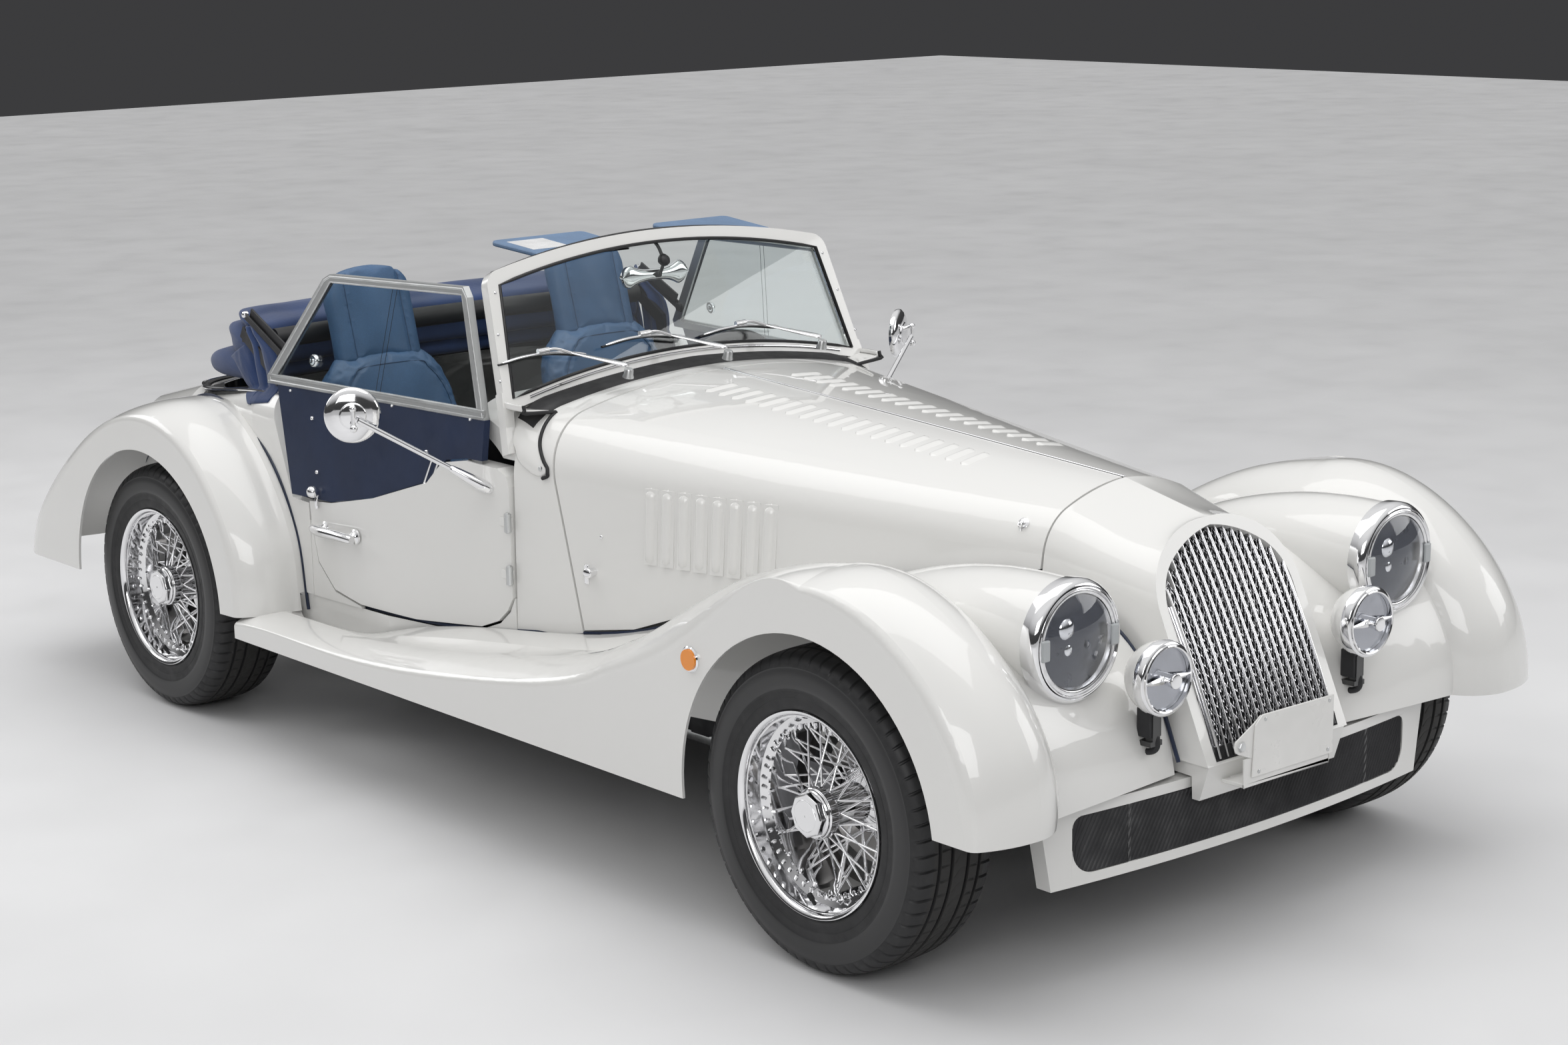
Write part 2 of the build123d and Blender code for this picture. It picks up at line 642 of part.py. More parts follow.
JACK_Y = -500
JACK_PAD = 5
with BuildPart() as chassis:
    for sign in (-1, 1):
        low, high = sorted((sign * (RAIL_X - RAIL_W / 2), sign * (RAIL_X + RAIL_W / 2)))
        add(slab_between((low, high), [
            (-1650, RAIL_Z), (820, RAIL_Z), (960, RAIL_Z + 180), (1740, RAIL_Z + 180), (1740, RAIL_Z + 260),
            (930, RAIL_Z + 260), (800, RAIL_Z + RAIL_H), (-1650, RAIL_Z + RAIL_H),
        ]))
    for y in (-1600, -900, 100, 720):
        add(block((-RAIL_X, RAIL_X), (y - 30, y + 30), (RAIL_Z + 15, RAIL_Z + 75)))
    for y in (1000, 1700):
        add(block((-RAIL_X, RAIL_X), (y - 20, y + 20), (RAIL_Z + 195, RAIL_Z + 245)))
    # jacking pads
    for x in (-RAIL_X, RAIL_X):
        add(block((x - 22, x + 22), (JACK_Y - 30, JACK_Y + 30), (RAIL_Z - JACK_PAD, RAIL_Z)))
    # outriggers to the sills
    for y in (-150, 500):
        add(block((-body_half_width(y) + 25, body_half_width(y) - 25), (y - 20, y + 20),
                  (RAIL_Z + 40, RAIL_Z + 90)))
    # front bumper irons
    for sign in (-1, 1):
        near, far = sorted((sign * (RAIL_X - 20), sign * (RAIL_X + 20)))
        add(block((near, far), (BUMPER_Y + BUMPER_DEPTH, -1650), (RAIL_Z + 30, RAIL_Z + 60)))
write("chassis", chassis.part)

with BuildPart() as engine_block:
    add(block((-170, 170), (-1210, -480), (RAIL_Z + 76, 700)))
write("engine_block", engine_block.part)

# ---------------------------------------------------------------- doors and side-screens
DOOR_OUTLINE = [
    (DOOR_FRONT_Y, 725), (DOOR_FRONT_Y, 470), (-88, 440), (-60, 412), (-10, 393), (200, 378), (400, 381),
    (503, 401), (568, 460), (592, 555), (DOOR_REAR_Y, 604), (500, 612), (336, 646), (145, 707), (92, 760),
    (20, 772), (-72, 764), (-98, 748),
]
# leaning side-screen, drawn in (y, z): cloth panel, metal frame and window
SCREEN_LOW_OUTLINE = [
    (-30, 776), (-27, 870), (745, 866), (738, 842), (655, 614), (500, 614), (336, 648), (147, 710), (94, 764),
    (22, 776),
]
FRAME_OUTLINE = [(-27, 862), (66, 1130), (84, 1153), (575, 1143), (600, 1130), (790, 884), (786, 866)]
WINDOW_OUTLINE = [(2, 884), (88, 1134), (572, 1124), (754, 884)]
FRAME_T = 16
GLASS_T = 5
SIDE_SCREEN_FOOT = (612, 300, 700)       # a point of the side-screen's mid plane
SIDE_SCREEN_LEAN = 8.5                   # degrees, towards the middle
SIDE_SCREEN_YAW = 5.0                    # degrees, front end towards the middle


def screen_slab(thickness, margin=1500):
    """Thin leaning slab that holds the side-screen's flat pieces."""
    with BuildPart() as slab:
        with Locations(Location(SIDE_SCREEN_FOOT, (0, -SIDE_SCREEN_LEAN, -SIDE_SCREEN_YAW))):
            Box(thickness, 2 * margin, 2 * margin)
    return slab.part


with BuildPart() as door_left:
    with BuildSketch(Plane.XY.offset(300)):
        with BuildLine():
            add(side_strip(0, DOOR_THICK, DOOR_FRONT_Y, DOOR_REAR_Y))
        make_face()
    extrude(amount=600)
    add(slab_between((400, 900), DOOR_OUTLINE), mode=Mode.INTERSECT)
    # outside hinges and handle
    for z in (HINGE_LOW_Z, HINGE_HIGH_Z):
        with BuildSketch(Plane.XY.offset(z - 14)):
            with Locations((DOOR_PIN_X, DOOR_PIN_Y)):
                Circle(7)
        extrude(amount=28)
        add(block((DOOR_PIN_X - 14, DOOR_PIN_X), (DOOR_PIN_Y, DOOR_PIN_Y + 60), (z - 10, z + 10)))
    handle_x = body_half_width(470)
    for y in (405, 535):
        with BuildSketch(Plane.YZ.offset(handle_x - 8)):
            with Locations((y, 545)):
                Circle(9)
        extrude(amount=36)
    add(block((handle_x + 20, handle_x + 32), (395, 545), (536, 554)))
write_pair("door", door_left.part)

with BuildPart() as side_screen:
    add(slab_between((400, 900), SCREEN_LOW_OUTLINE))
    add(slab_between((400, 900), FRAME_OUTLINE))
    add(slab_between((400, 900), WINDOW_OUTLINE), mode=Mode.SUBTRACT)
    add(screen_slab(FRAME_T), mode=Mode.INTERSECT)
    add(door_left.part, mode=Mode.SUBTRACT)
write_pair("side_screen", side_screen.part)

with BuildPart() as side_glass:
    add(slab_between((400, 900), WINDOW_OUTLINE))
    add(screen_slab(GLASS_T), mode=Mode.INTERSECT)
write_pair("side_glass", side_glass.part)

# ---------------------------------------------------------------- door mirrors
MIRROR_FOOT = (558, -60, 703)
MIRROR_HEAD = (826, 103, 895)
MIRROR_R = 62
MIRROR_T = 26
MIRROR_TURN = radians(30)        # the dish's back faces forwards and outwards
mirror_plane = Plane(origin=MIRROR_HEAD, x_dir=(cos(MIRROR_TURN), sin(MIRROR_TURN), 0),
                     z_dir=(-sin(MIRROR_TURN), cos(MIRROR_TURN), 0))
with BuildPart() as door_mirror:
    with BuildLine():
        arm = Line(MIRROR_FOOT, MIRROR_HEAD)
    with BuildSketch(Plane(origin=arm @ 0, z_dir=arm % 0)):
        Circle(7)
    sweep()
    with BuildSketch(mirror_plane.offset(-8)):
        Circle(MIRROR_R)
    extrude(amount=MIRROR_T)
    add(door_left.part, mode=Mode.SUBTRACT)
write_pair("door_mirror", door_mirror.part)

# ---------------------------------------------------------------- road wheels
# drawn about the X axis with the outer side towards +X, then placed at each corner
TYRE_SIDE_X = TYRE_WIDTH / 2
RIM_HALF = 90
RIM_T = 4
WELL_R = 172
HUB_R = 38
HUB_OUT_X = 64
HUB_IN_X = -60
DISC_R = 130
DISC_X = (-80, -68)
CAP_R = 44
CAP_OUT_X = 102
SPOKE_R = 2.3
# spokes in each row, hub x, hub radius, rim x, lead angle between the two ends in degrees
SPOKE_ROWS = [(24, 58, 40, -14, 30), (24, -50, 60, 22, 38), (24, -54, 62, 6, -38)]
wheel_plane = Plane(origin=(0, 0, 0), x_dir=(1, 0, 0), z_dir=(0, -1, 0))


def spun(outline):
    """Revolve a closed (x, radius) outline about the wheel's axis."""
    with BuildPart() as ring:
        with BuildSketch(wheel_plane):
            with BuildLine():
                Polyline(*outline, close=True)
            make_face()
        revolve(axis=Axis.X)
    return ring.part


with BuildPart() as tyre:
    with BuildSketch(wheel_plane):
        with BuildLine():
            bead = TYRE_SIDE_X - 23
            Line((-bead, BEAD_R + 0.8), (bead, BEAD_R + 0.8))
            Line((bead, BEAD_R + 0.8), (bead, RIM_LIP_R + 2))
            Line((bead, RIM_LIP_R + 2), (TYRE_SIDE_X - 8, RIM_LIP_R + 4))
            ThreePointArc((TYRE_SIDE_X - 8, RIM_LIP_R + 4), (TYRE_SIDE_X, 255), (TYRE_SIDE_X - 13, 298))
            Line((TYRE_SIDE_X - 13, 298), (TYRE_SIDE_X - 33, TYRE_R - 2.5))
            ThreePointArc((TYRE_SIDE_X - 33, TYRE_R - 2.5), (0, TYRE_R), (33 - TYRE_SIDE_X, TYRE_R - 2.5))
            Line((33 - TYRE_SIDE_X, TYRE_R - 2.5), (13 - TYRE_SIDE_X, 298))
            ThreePointArc((13 - TYRE_SIDE_X, 298), (-TYRE_SIDE_X, 255), (8 - TYRE_SIDE_X, RIM_LIP_R + 4))
            Line((8 - TYRE_SIDE_X, RIM_LIP_R + 4), (-bead, RIM_LIP_R + 2))
            Line((-bead, RIM_LIP_R + 2), (-bead, BEAD_R + 0.8))
        make_face()
    revolve(axis=Axis.X)

def spoke_rod(foot, tip):
    """One wire spoke between two points."""
    with BuildPart() as rod:
        with BuildSketch(Plane(origin=foot, z_dir=tip - foot)):
            Circle(SPOKE_R)
        extrude(amount=(tip - foot).length)
    return rod.part


with BuildPart() as wheel:
    seat_r = BEAD_R + 0.5
    add(spun([
        (-RIM_HALF, RIM_LIP_R), (4 - RIM_HALF, RIM_LIP_R), (9 - RIM_HALF, seat_r),
        (-50, seat_r), (-40, WELL_R),
        (40, WELL_R), (50, seat_r), (RIM_HALF - 9, seat_r), (RIM_HALF - 4, RIM_LIP_R), (RIM_HALF, RIM_LIP_R),
        (RIM_HALF, RIM_LIP_R - 4), (RIM_HALF - 5, seat_r - RIM_T), (53, seat_r - RIM_T), (43, WELL_R - RIM_T),
        (-43, WELL_R - RIM_T), (-53, seat_r - RIM_T),
        (5 - RIM_HALF, seat_r - RIM_T), (-RIM_HALF, RIM_LIP_R - 4),
    ]))
    bore = SPINDLE_R + FIT
    add(spun([
        (HUB_IN_X, bore), (HUB_IN_X, 68), (HUB_IN_X + 14, 64),
        (HUB_IN_X + 30, HUB_R), (HUB_OUT_X - 14, HUB_R),
        (HUB_OUT_X - 8, 44), (HUB_OUT_X, 44), (HUB_OUT_X, bore),
    ]))
    # brake disc and its bell
    add(spun([
        (DISC_X[0], bore), (DISC_X[0], DISC_R), (DISC_X[1], DISC_R), (DISC_X[1], 70), (HUB_IN_X, 66),
        (HUB_IN_X, bore),
    ]))
    # eight-sided knock-off cap
    with BuildSketch(Plane.YZ.offset(HUB_OUT_X)):
        RegularPolygon(CAP_R, 8)
    extrude(amount=22)
    with BuildSketch(Plane.YZ.offset(HUB_OUT_X + 22)):
        RegularPolygon(CAP_R, 8)
    extrude(amount=CAP_OUT_X - HUB_OUT_X - 22, taper=38)
    for count, hub_x, hub_r, rim_x, lead in SPOKE_ROWS:
        for index in range(count):
            turn = radians(index * 360 / count + (7.5 if rim_x > 10 else 0))
            rim_turn = turn + radians(lead if index % 2 else -lead)
            foot = Vector(hub_x, (hub_r - 3) * cos(turn), (hub_r - 3) * sin(turn))
            tip = Vector(rim_x, (WELL_R - 2) * cos(rim_turn), (WELL_R - 2) * sin(rim_turn))
            add(spoke_rod(foot, tip))

for corner, axle_y in (("front", FRONT_AXLE_Y), ("rear", REAR_AXLE_Y)):
    centre = Location((WHEEL_X[corner], axle_y, WHEEL_Z))
    write_pair(f"tyre_{corner}", tyre.part.moved(centre))
    write_pair(f"wire_wheel_{corner}", wheel.part.moved(centre))

# ---------------------------------------------------------------- running gear
KINGPIN_X = 592
KINGPIN_R = 14
with BuildPart() as knuckle:
    hub_end = WHEEL_X["front"] + HUB_OUT_X - 6
    add(disc((KINGPIN_X, hub_end), FRONT_AXLE_Y, WHEEL_Z, SPINDLE_R))
    add(block((KINGPIN_X - 24, KINGPIN_X + 14), (FRONT_AXLE_Y - 30, FRONT_AXLE_Y + 30),
              (WHEEL_Z - 92, WHEEL_Z + 92)))
    # caliper astride the disc, behind the axle
    disc_low = WHEEL_X["front"] + DISC_X[0]
    disc_high = WHEEL_X["front"] + DISC_X[1]
    add(block((disc_low - 34, disc_high + 26), (FRONT_AXLE_Y + 84, FRONT_AXLE_Y + 148),
              (WHEEL_Z - 45, WHEEL_Z + 45)))
    add(disc((disc_low - 4, disc_high + 4), FRONT_AXLE_Y, WHEEL_Z, DISC_R + 4), mode=Mode.SUBTRACT)
    add(disc((disc_low - 6, hub_end), FRONT_AXLE_Y, WHEEL_Z, SPINDLE_R))
    add(block((KINGPIN_X - 10, disc_low - 6), (FRONT_AXLE_Y, FRONT_AXLE_Y + 100),
              (WHEEL_Z - 40, WHEEL_Z + 40)))
    # bores for the kingpin ends
    with BuildSketch(Plane.XY.offset(WHEEL_Z - 92)):
        with Locations((KINGPIN_X - 4, FRONT_AXLE_Y)):
            Circle(KINGPIN_R + FIT)
    extrude(amount=24, mode=Mode.SUBTRACT)
    with BuildSketch(Plane.XY.offset(WHEEL_Z + 68)):
        with Locations((KINGPIN_X - 4, FRONT_AXLE_Y)):
            Circle(KINGPIN_R + FIT)
    extrude(amount=24, mode=Mode.SUBTRACT)
write_pair("knuckle", knuckle.part)

with BuildPart() as front_suspension:
    pin_x = KINGPIN_X - 4
    rail_side = RAIL_X + RAIL_W / 2
    # crossbeam below the rails
    add(block((-rail_side - 60, rail_side + 60), (FRONT_AXLE_Y - 40, FRONT_AXLE_Y + 40),
              (RAIL_Z - 30, RAIL_Z)))
    for sign in (-1, 1):
        # lower wishbone, from the beam's end to the kingpin foot
        low_z = WHEEL_Z - 92 - 22
        near, far = sorted((sign * (rail_side + 2), sign * (pin_x + 8)))
        add(block((near, far), (FRONT_AXLE_Y - 18, FRONT_AXLE_Y + 18), (low_z, low_z + 18)))
        # upper wishbone from the spring tower
        high_z = WHEEL_Z + 92 + 4
        add(block((near, far), (FRONT_AXLE_Y - 18, FRONT_AXLE_Y + 18), (high_z, high_z + 16)))
        tower_near, tower_far = sorted((sign * (rail_side - 34), sign * (rail_side + 6)))
        add(block((tower_near, tower_far), (FRONT_AXLE_Y - 40, FRONT_AXLE_Y + 40),
                  (RAIL_Z + RAIL_H, high_z + 30)))
        for z_low, z_high in ((low_z + 10, low_z + 22 + 20), (high_z - 4 - 20, high_z + 8)):
            with BuildSketch(Plane.XY.offset(z_low)):
                with Locations((sign * pin_x, FRONT_AXLE_Y)):
                    Circle(KINGPIN_R)
            extrude(amount=z_high - z_low)
write("front_suspension", front_suspension.part)

with BuildPart() as rear_axle:
    axle_end = WHEEL_X["rear"] + HUB_OUT_X - 6
    inner_end = WHEEL_X["rear"] + DISC_X[0] - 6
    add(disc((-inner_end, inner_end), REAR_AXLE_Y, WHEEL_Z, 34))
    add(disc((-axle_end, axle_end), REAR_AXLE_Y, WHEEL_Z, SPINDLE_R))
    add(disc((-62, 62), REAR_AXLE_Y, WHEEL_Z, 95))
    for sign in (-1, 1):
        near, far = sorted((sign * 395, sign * 445))
        # leaf spring and its hangers
        add(slab_between((near, far), [
            (REAR_AXLE_Y - 420, 262), (REAR_AXLE_Y - 200, 238), (REAR_AXLE_Y, 232), (REAR_AXLE_Y + 200, 238),
            (REAR_AXLE_Y + 420, 262), (REAR_AXLE_Y + 420, 276),
            (REAR_AXLE_Y + 200, 260), (REAR_AXLE_Y + 60, 256),
            (REAR_AXLE_Y + 50, 282), (REAR_AXLE_Y - 50, 282),
            (REAR_AXLE_Y - 60, 256), (REAR_AXLE_Y - 200, 260),
            (REAR_AXLE_Y - 420, 276),
        ]))
        for y, top in ((REAR_AXLE_Y - 410, RAIL_Z + RAIL_H), (REAR_AXLE_Y + 410, RAIL_Z + 230)):
            near, far = sorted((sign * (RAIL_X + RAIL_W / 2), sign * 445))
            add(block((near, far), (y - 12, y + 12), (258, top)))
write("rear_axle", rear_axle.part)

with BuildPart() as exhaust:
    with BuildLine():
        FilletPolyline((-200, -700, 176), (-240, -500, 150), (-240, 700, 150),
                       (-240, 980, 176), (-240, 1400, 176),
                       (-240, TAIL_Y - 40, 210), radius=60)
    with BuildSketch(Plane(origin=(-200, -700, 176), z_dir=(-40, 200, -26))):
        Circle(24)
    sweep()
    add(block((-310, -170), (160, 640), (115, 190)))
    # hangers up to the frame
    for y in (-300, 900, 1720):
        top = RAIL_Z if y < 0 else RAIL_Z + 15
        add(block((-250, -230), (y - 8, y + 8), (170, top)))
write("exhaust", exhaust.part)

# ---------------------------------------------------------------- front end fittings
BUMPER_HALF_TOP = 567
BUMPER_HALF_LOW = 539
BUMPER_LOW_Z = 202
BUMPER_TOP_Z = 356
BUMPER_BOW = 45
BUMPER_EDGE = 20


def bumper_blank(inset, depth):
    """Bowed bar of the given depth whose front view is a trapezium, in by the inset."""
    with BuildPart() as bar:
        with BuildSketch(Plane.XY.offset(150)):
            with BuildLine():
                half = BUMPER_HALF_TOP + 30
                front = ThreePointArc((-half, BUMPER_Y + BUMPER_BOW),
                                        (0, BUMPER_Y), (half, BUMPER_Y + BUMPER_BOW))
                Polyline(front @ 1, (half, BUMPER_Y + BUMPER_BOW + depth))
                back = ThreePointArc((half, BUMPER_Y + BUMPER_BOW + depth), (0, BUMPER_Y + depth),
                                     (-half, BUMPER_Y + BUMPER_BOW + depth))
                Polyline(back @ 1, front @ 0)
            make_face()
        extrude(amount=250)
        with BuildSketch(cross_plane(-2000)):
            Polygon(
                (-BUMPER_HALF_TOP + inset, BUMPER_TOP_Z - inset),
                (BUMPER_HALF_TOP - inset, BUMPER_TOP_Z - inset),
                (BUMPER_HALF_LOW - inset, BUMPER_LOW_Z + inset),
                (-BUMPER_HALF_LOW + inset, BUMPER_LOW_Z + inset),
                align=None,
            )
        extrude(amount=-500, mode=Mode.INTERSECT)
    return bar.part


with BuildPart() as bumper_window:
    add(bumper_blank(BUMPER_EDGE, 300))
    add(block((-490, 490), (-2000, -1400), (150, 400)), mode=Mode.INTERSECT)

with BuildPart() as front_bumper:
    add(bumper_blank(0, BUMPER_DEPTH))
    add(bumper_window.part.moved(Location((0, -10, 0))), mode=Mode.SUBTRACT)
    # back rails that meet the frame's irons
    for sign in (-1, 1):
        near, far = sorted((sign * (RAIL_X - 24), sign * (RAIL_X + 24)))
        add(block((near, far), (BUMPER_Y + BUMPER_DEPTH - 20, BUMPER_Y + BUMPER_DEPTH), (BUMPER_LOW_Z + 5,
                                                                                     BUMPER_TOP_Z - 5)))
write("front_bumper", front_bumper.part)

with BuildPart() as bumper_mesh:
    add(bumper_blank(BUMPER_EDGE + SEAM, 24))
    add(block((-489, 489), (-2000, -1400), (150, 400)), mode=Mode.INTERSECT)
    add(bumper_blank(0, 14), mode=Mode.SUBTRACT)
    add(front_bumper.part, mode=Mode.SUBTRACT)
    add(chassis.part, mode=Mode.SUBTRACT)
write("bumper_mesh", bumper_mesh.part)

PLATE_Y = -1876
PLATE_X = -40
PLATE_Z = 432
PLATE_W = 250
PLATE_H = 114
with BuildPart() as number_plates:
    # front plate on a swivel bracket from the chin
    with BuildSketch(cross_plane(PLATE_Y)):
        with Locations((PLATE_X, PLATE_Z)):
            RectangleRounded(PLATE_W, PLATE_H, 10)
            with GridLocations(PLATE_W - 40, PLATE_H - 34, 2, 2):
                Circle(3.5, mode=Mode.SUBTRACT)
    extrude(amount=4)
    add(block((PLATE_X - 30, PLATE_X + 30), (PLATE_Y, -1800), (344, 354)))
    add(block((PLATE_X - 30, PLATE_X + 30), (PLATE_Y, PLATE_Y + 6), (344, 440)))
    add(cowl.part, mode=Mode.SUBTRACT)
    add(grille.part, mode=Mode.SUBTRACT)
    # rear plate on the tail
    with BuildSketch(Plane(origin=(0, REAR_FACE_Y, 0), x_dir=(-1, 0, 0), z_dir=(0, 1, 0))):
        with Locations((0, 342)):
            Rectangle(520, 62)
    extrude(amount=5)
write("number_plates", number_plates.part)

with BuildPart() as headlamps:
    with BuildSketch(Plane.YZ):
        with BuildLine():
            Polyline((LAMP_Y + 24, LAMP_R - 12), (LAMP_Y + 20, LAMP_R),
                     (LAMP_Y - 6, LAMP_R), (LAMP_Y - 16, LAMP_R - 8),
                     (LAMP_Y - 16, LAMP_R - 22), (LAMP_Y + 10, LAMP_R - 26),
                     (LAMP_Y + 14, 0), (LAMP_Y + 20, 0),
                     close=True)
        make_face()
    revolve(axis=Axis.Y)
headlamp = headlamps.part.moved(Location((LAMP_X, 0, LAMP_Z)))
with BuildPart() as headlamp_left:
    add(headlamp)
    add(front_wing.part, mode=Mode.SUBTRACT)
write("headlamps", both_sides(largest(headlamp_left.part)))

SPOT_DEPTH = 80
with BuildPart() as spot_shell:
    with BuildSketch(Plane.YZ):
        with BuildLine():
            Line((SPOT_Y, SPOT_R - 8), (SPOT_Y, SPOT_R))
            Line((SPOT_Y, SPOT_R), (SPOT_Y + 14, SPOT_R))
            TangentArc((SPOT_Y + SPOT_DEPTH, 0), (SPOT_Y + 14, SPOT_R), tangent=(0, 1))
            Line((SPOT_Y + SPOT_DEPTH, 0), (SPOT_Y + 12, 0))
            Line((SPOT_Y + 12, 0), (SPOT_Y + 12, SPOT_R - 8))
            Line((SPOT_Y + 12, SPOT_R - 8), (SPOT_Y, SPOT_R - 8))
        make_face()
    revolve(axis=Axis.Y)
# stalk down to the apron
with BuildPart() as spot_stalk:
    add(block((SPOT_X - 10, SPOT_X + 10), (SPOT_Y + 22, SPOT_Y + 40), (440, SPOT_Z - SPOT_R + 12)))
    add(block((SPOT_X - 16, SPOT_X + 16), (SPOT_Y + 22, -1730), (440, 450)))
    add(front_wing.part, mode=Mode.SUBTRACT)

with BuildPart() as spot_lamps:
    add(spot_shell.part.moved(Location((SPOT_X, 0, SPOT_Z))))
    add(largest(spot_stalk.part))
write("spot_lamps", both_sides(spot_lamps.part))

LENS_SEAT = 0.4
with BuildPart() as lenses:
    with BuildSketch(Plane.YZ):
        with BuildLine():
            rim = LAMP_R - 23 - LENS_SEAT
            TangentArc((LAMP_Y - 36, 0), (LAMP_Y - 14, rim), tangent=(0, 1))
            Line((LAMP_Y - 14, rim), (LAMP_Y - 8, rim))
            TangentArc((LAMP_Y - 31, 0), (LAMP_Y - 8, rim), tangent=(0, 1))
            Line((LAMP_Y - 31, 0), (LAMP_Y - 36, 0))
        make_face()
    revolve(axis=Axis.Y)
head_lens = lenses.part.moved(Location((LAMP_X, 0, LAMP_Z)))
spot_lens = disc((0, 4), 0, 0, SPOT_R - 8 - LENS_SEAT).rotate(Axis.Z, 90).moved(
    Location((SPOT_X, SPOT_Y + 2, SPOT_Z)))
with BuildPart() as lamp_lenses:
    add(head_lens)
    add(spot_lens)
write("lamp_lenses", both_sides(lamp_lenses.part))

REPEATER_Y = -1063
REPEATER_Z = 565
TAIL_LAMP_Y = TAIL_Y - 61
with BuildPart() as signal_lamps:
    # round side repeaters behind the front arches
    add(disc((WING_X - 8, WING_X + 9), REPEATER_Y, REPEATER_Z, 21))
    add(front_wing.part, mode=Mode.SUBTRACT)
    # tail lamps on the tail panel
    with BuildSketch(cross_plane(TAIL_LAMP_Y)):
        with Locations((450, 450)):
            Circle(32)
    extrude(amount=-36)
    add(rear_body.part, mode=Mode.SUBTRACT)
write("signal_lamps", both_sides(largest(signal_lamps.part, 2)))

# ---------------------------------------------------------------- windscreen
screen_plane = Plane(origin=(0, SCREEN_Y, SCREEN_Z), x_dir=(1, 0, 0),
                     z_dir=(0, -cos(radians(SCREEN_LEAN)), sin(radians(SCREEN_LEAN))))


SCREEN_CORNER_R = 14


def screen_prism(margin, front, back):
    """Block of the windscreen opening grown by a margin, between two depths."""
    with BuildPart() as prism:
        with BuildSketch(screen_plane.offset(-front)) as outline:
            with BuildLine():
                low = (510 + margin, -margin)
                high = (474 + margin, 262 + margin)
                Line(low, high)
                ThreePointArc(high, (0, 322 + margin), (-high[0], high[1]))
                Line((-high[0], high[1]), (-low[0], low[1]))
                ThreePointArc((-low[0], low[1]), (0, 62 - margin), low)
            make_face()
            fillet(outline.vertices().sort_by(Axis.Y)[-2:], radius=SCREEN_CORNER_R + margin)
        extrude(amount=front - back)
    return prism.part


with BuildPart() as windscreen_frame:
    add(screen_prism(28, 0, SCREEN_T))
    # post feet down the scuttle sides
    for sign in (-1, 1):
        with BuildSketch(screen_plane):
            Polygon((sign * 510, 20), (sign * 536, 20), (sign * 556, -118), (sign * 530, -118), align=None)
        extrude(amount=-SCREEN_T)
        near, far = sorted((sign * 540, sign * 562))
        add(block((near, far), (-160, -112), (762, 822)))
    add(screen_prism(0, -5, SCREEN_T + 5), mode=Mode.SUBTRACT)
    add(scuttle_solid.part, mode=Mode.SUBTRACT)
frame_main = largest(windscreen_frame.part)
write("windscreen_frame", frame_main)

with BuildPart() as windscreen_glass:
    add(screen_prism(-0.3, SCREEN_T / 2 - 3, SCREEN_T / 2 + 3))
    add(scuttle_solid.part, mode=Mode.SUBTRACT)
write("windscreen_glass", windscreen_glass.part)

WIPER_X = (-289, 0, 289)
WIPER_Y = -140
WIPER_TILT = radians(20)


def wiper_arm(x, z):
    """Flat arm and blade that lie from a pivot towards the car's right."""
    with BuildPart() as arm:
        with BuildSketch(Plane(origin=(x, WIPER_Y, z), x_dir=(1, 0, 0),
                              z_dir=(0, -sin(WIPER_TILT), cos(WIPER_TILT)))):
            Polygon((6, -8), (8, 8), (-150, 62), (-160, 46), align=None)
        extrude(amount=5)
    return arm.part


with BuildPart() as wipers:
    for x in WIPER_X:
        pivot_z = 934 - 0.00018 * x * x
        with BuildSketch(Plane.XY.offset(pivot_z - 12)):
            with Locations((x, WIPER_Y)):
                Circle(9)
        extrude(amount=36)
        add(wiper_arm(x, pivot_z + 20))
    add(scuttle_solid.part, mode=Mode.SUBTRACT)
    add(frame_main, mode=Mode.SUBTRACT)
    add(windscreen_glass.part, mode=Mode.SUBTRACT)
write("wipers", largest(wipers.part, len(WIPER_X)))

with BuildPart() as rear_view_mirror:
    with BuildSketch(Plane.XZ.offset(-90)):
        with Locations((0, 1130)):
            RectangleRounded(190, 56, 27)
    extrude(amount=-22)
    add(block((-8, 8), (60, 92), (1124, 1136)))
    add(block((-8, 8), (60, 68), (1124, 1215)))
    add(frame_main, mode=Mode.SUBTRACT)
    add(windscreen_glass.part, mode=Mode.SUBTRACT)
write("rear_view_mirror", largest(rear_view_mirror.part))

VISOR_X = 240
VISOR_HALF = 180
with BuildPart() as sun_visors:
    for x in (-VISOR_X, VISOR_X):
        add(slab_between((x - VISOR_HALF, x + VISOR_HALF),
                         [(62, 1196), (270, 1222), (268, 1234), (60, 1208)]))
    add(frame_main, mode=Mode.SUBTRACT)
    add(windscreen_glass.part, mode=Mode.SUBTRACT)
write("sun_visors", largest(sun_visors.part, 2))

# ---------------------------------------------------------------- cockpit
DASH_Y = (12, 38)
DASH_HALF = 530
with BuildPart() as dashboard:
    add(block((-DASH_HALF, DASH_HALF), DASH_Y, (690, 890)))
    add(scuttle_loft(WALL + SEAM), mode=Mode.INTERSECT)
    # instruments
    for x, radius in ((-90, 26), (-20, 42), (80, 42), (150, 26)):
        with BuildSketch(cross_plane(DASH_Y[1])):
            with Locations((x, 790)):
                Circle(radius)
        extrude(amount=-5)
write("dashboard", dashboard.part)

WHEEL_CENTRE = (SEAT_X, 262, 772)
WHEEL_TILT = 24
steer_dir = Vector(0, cos(radians(WHEEL_TILT)), sin(radians(WHEEL_TILT)))
steer_plane = Plane(origin=WHEEL_CENTRE, x_dir=(1, 0, 0), z_dir=steer_dir)
SPOKE_PLANE = steer_plane.offset(-4)


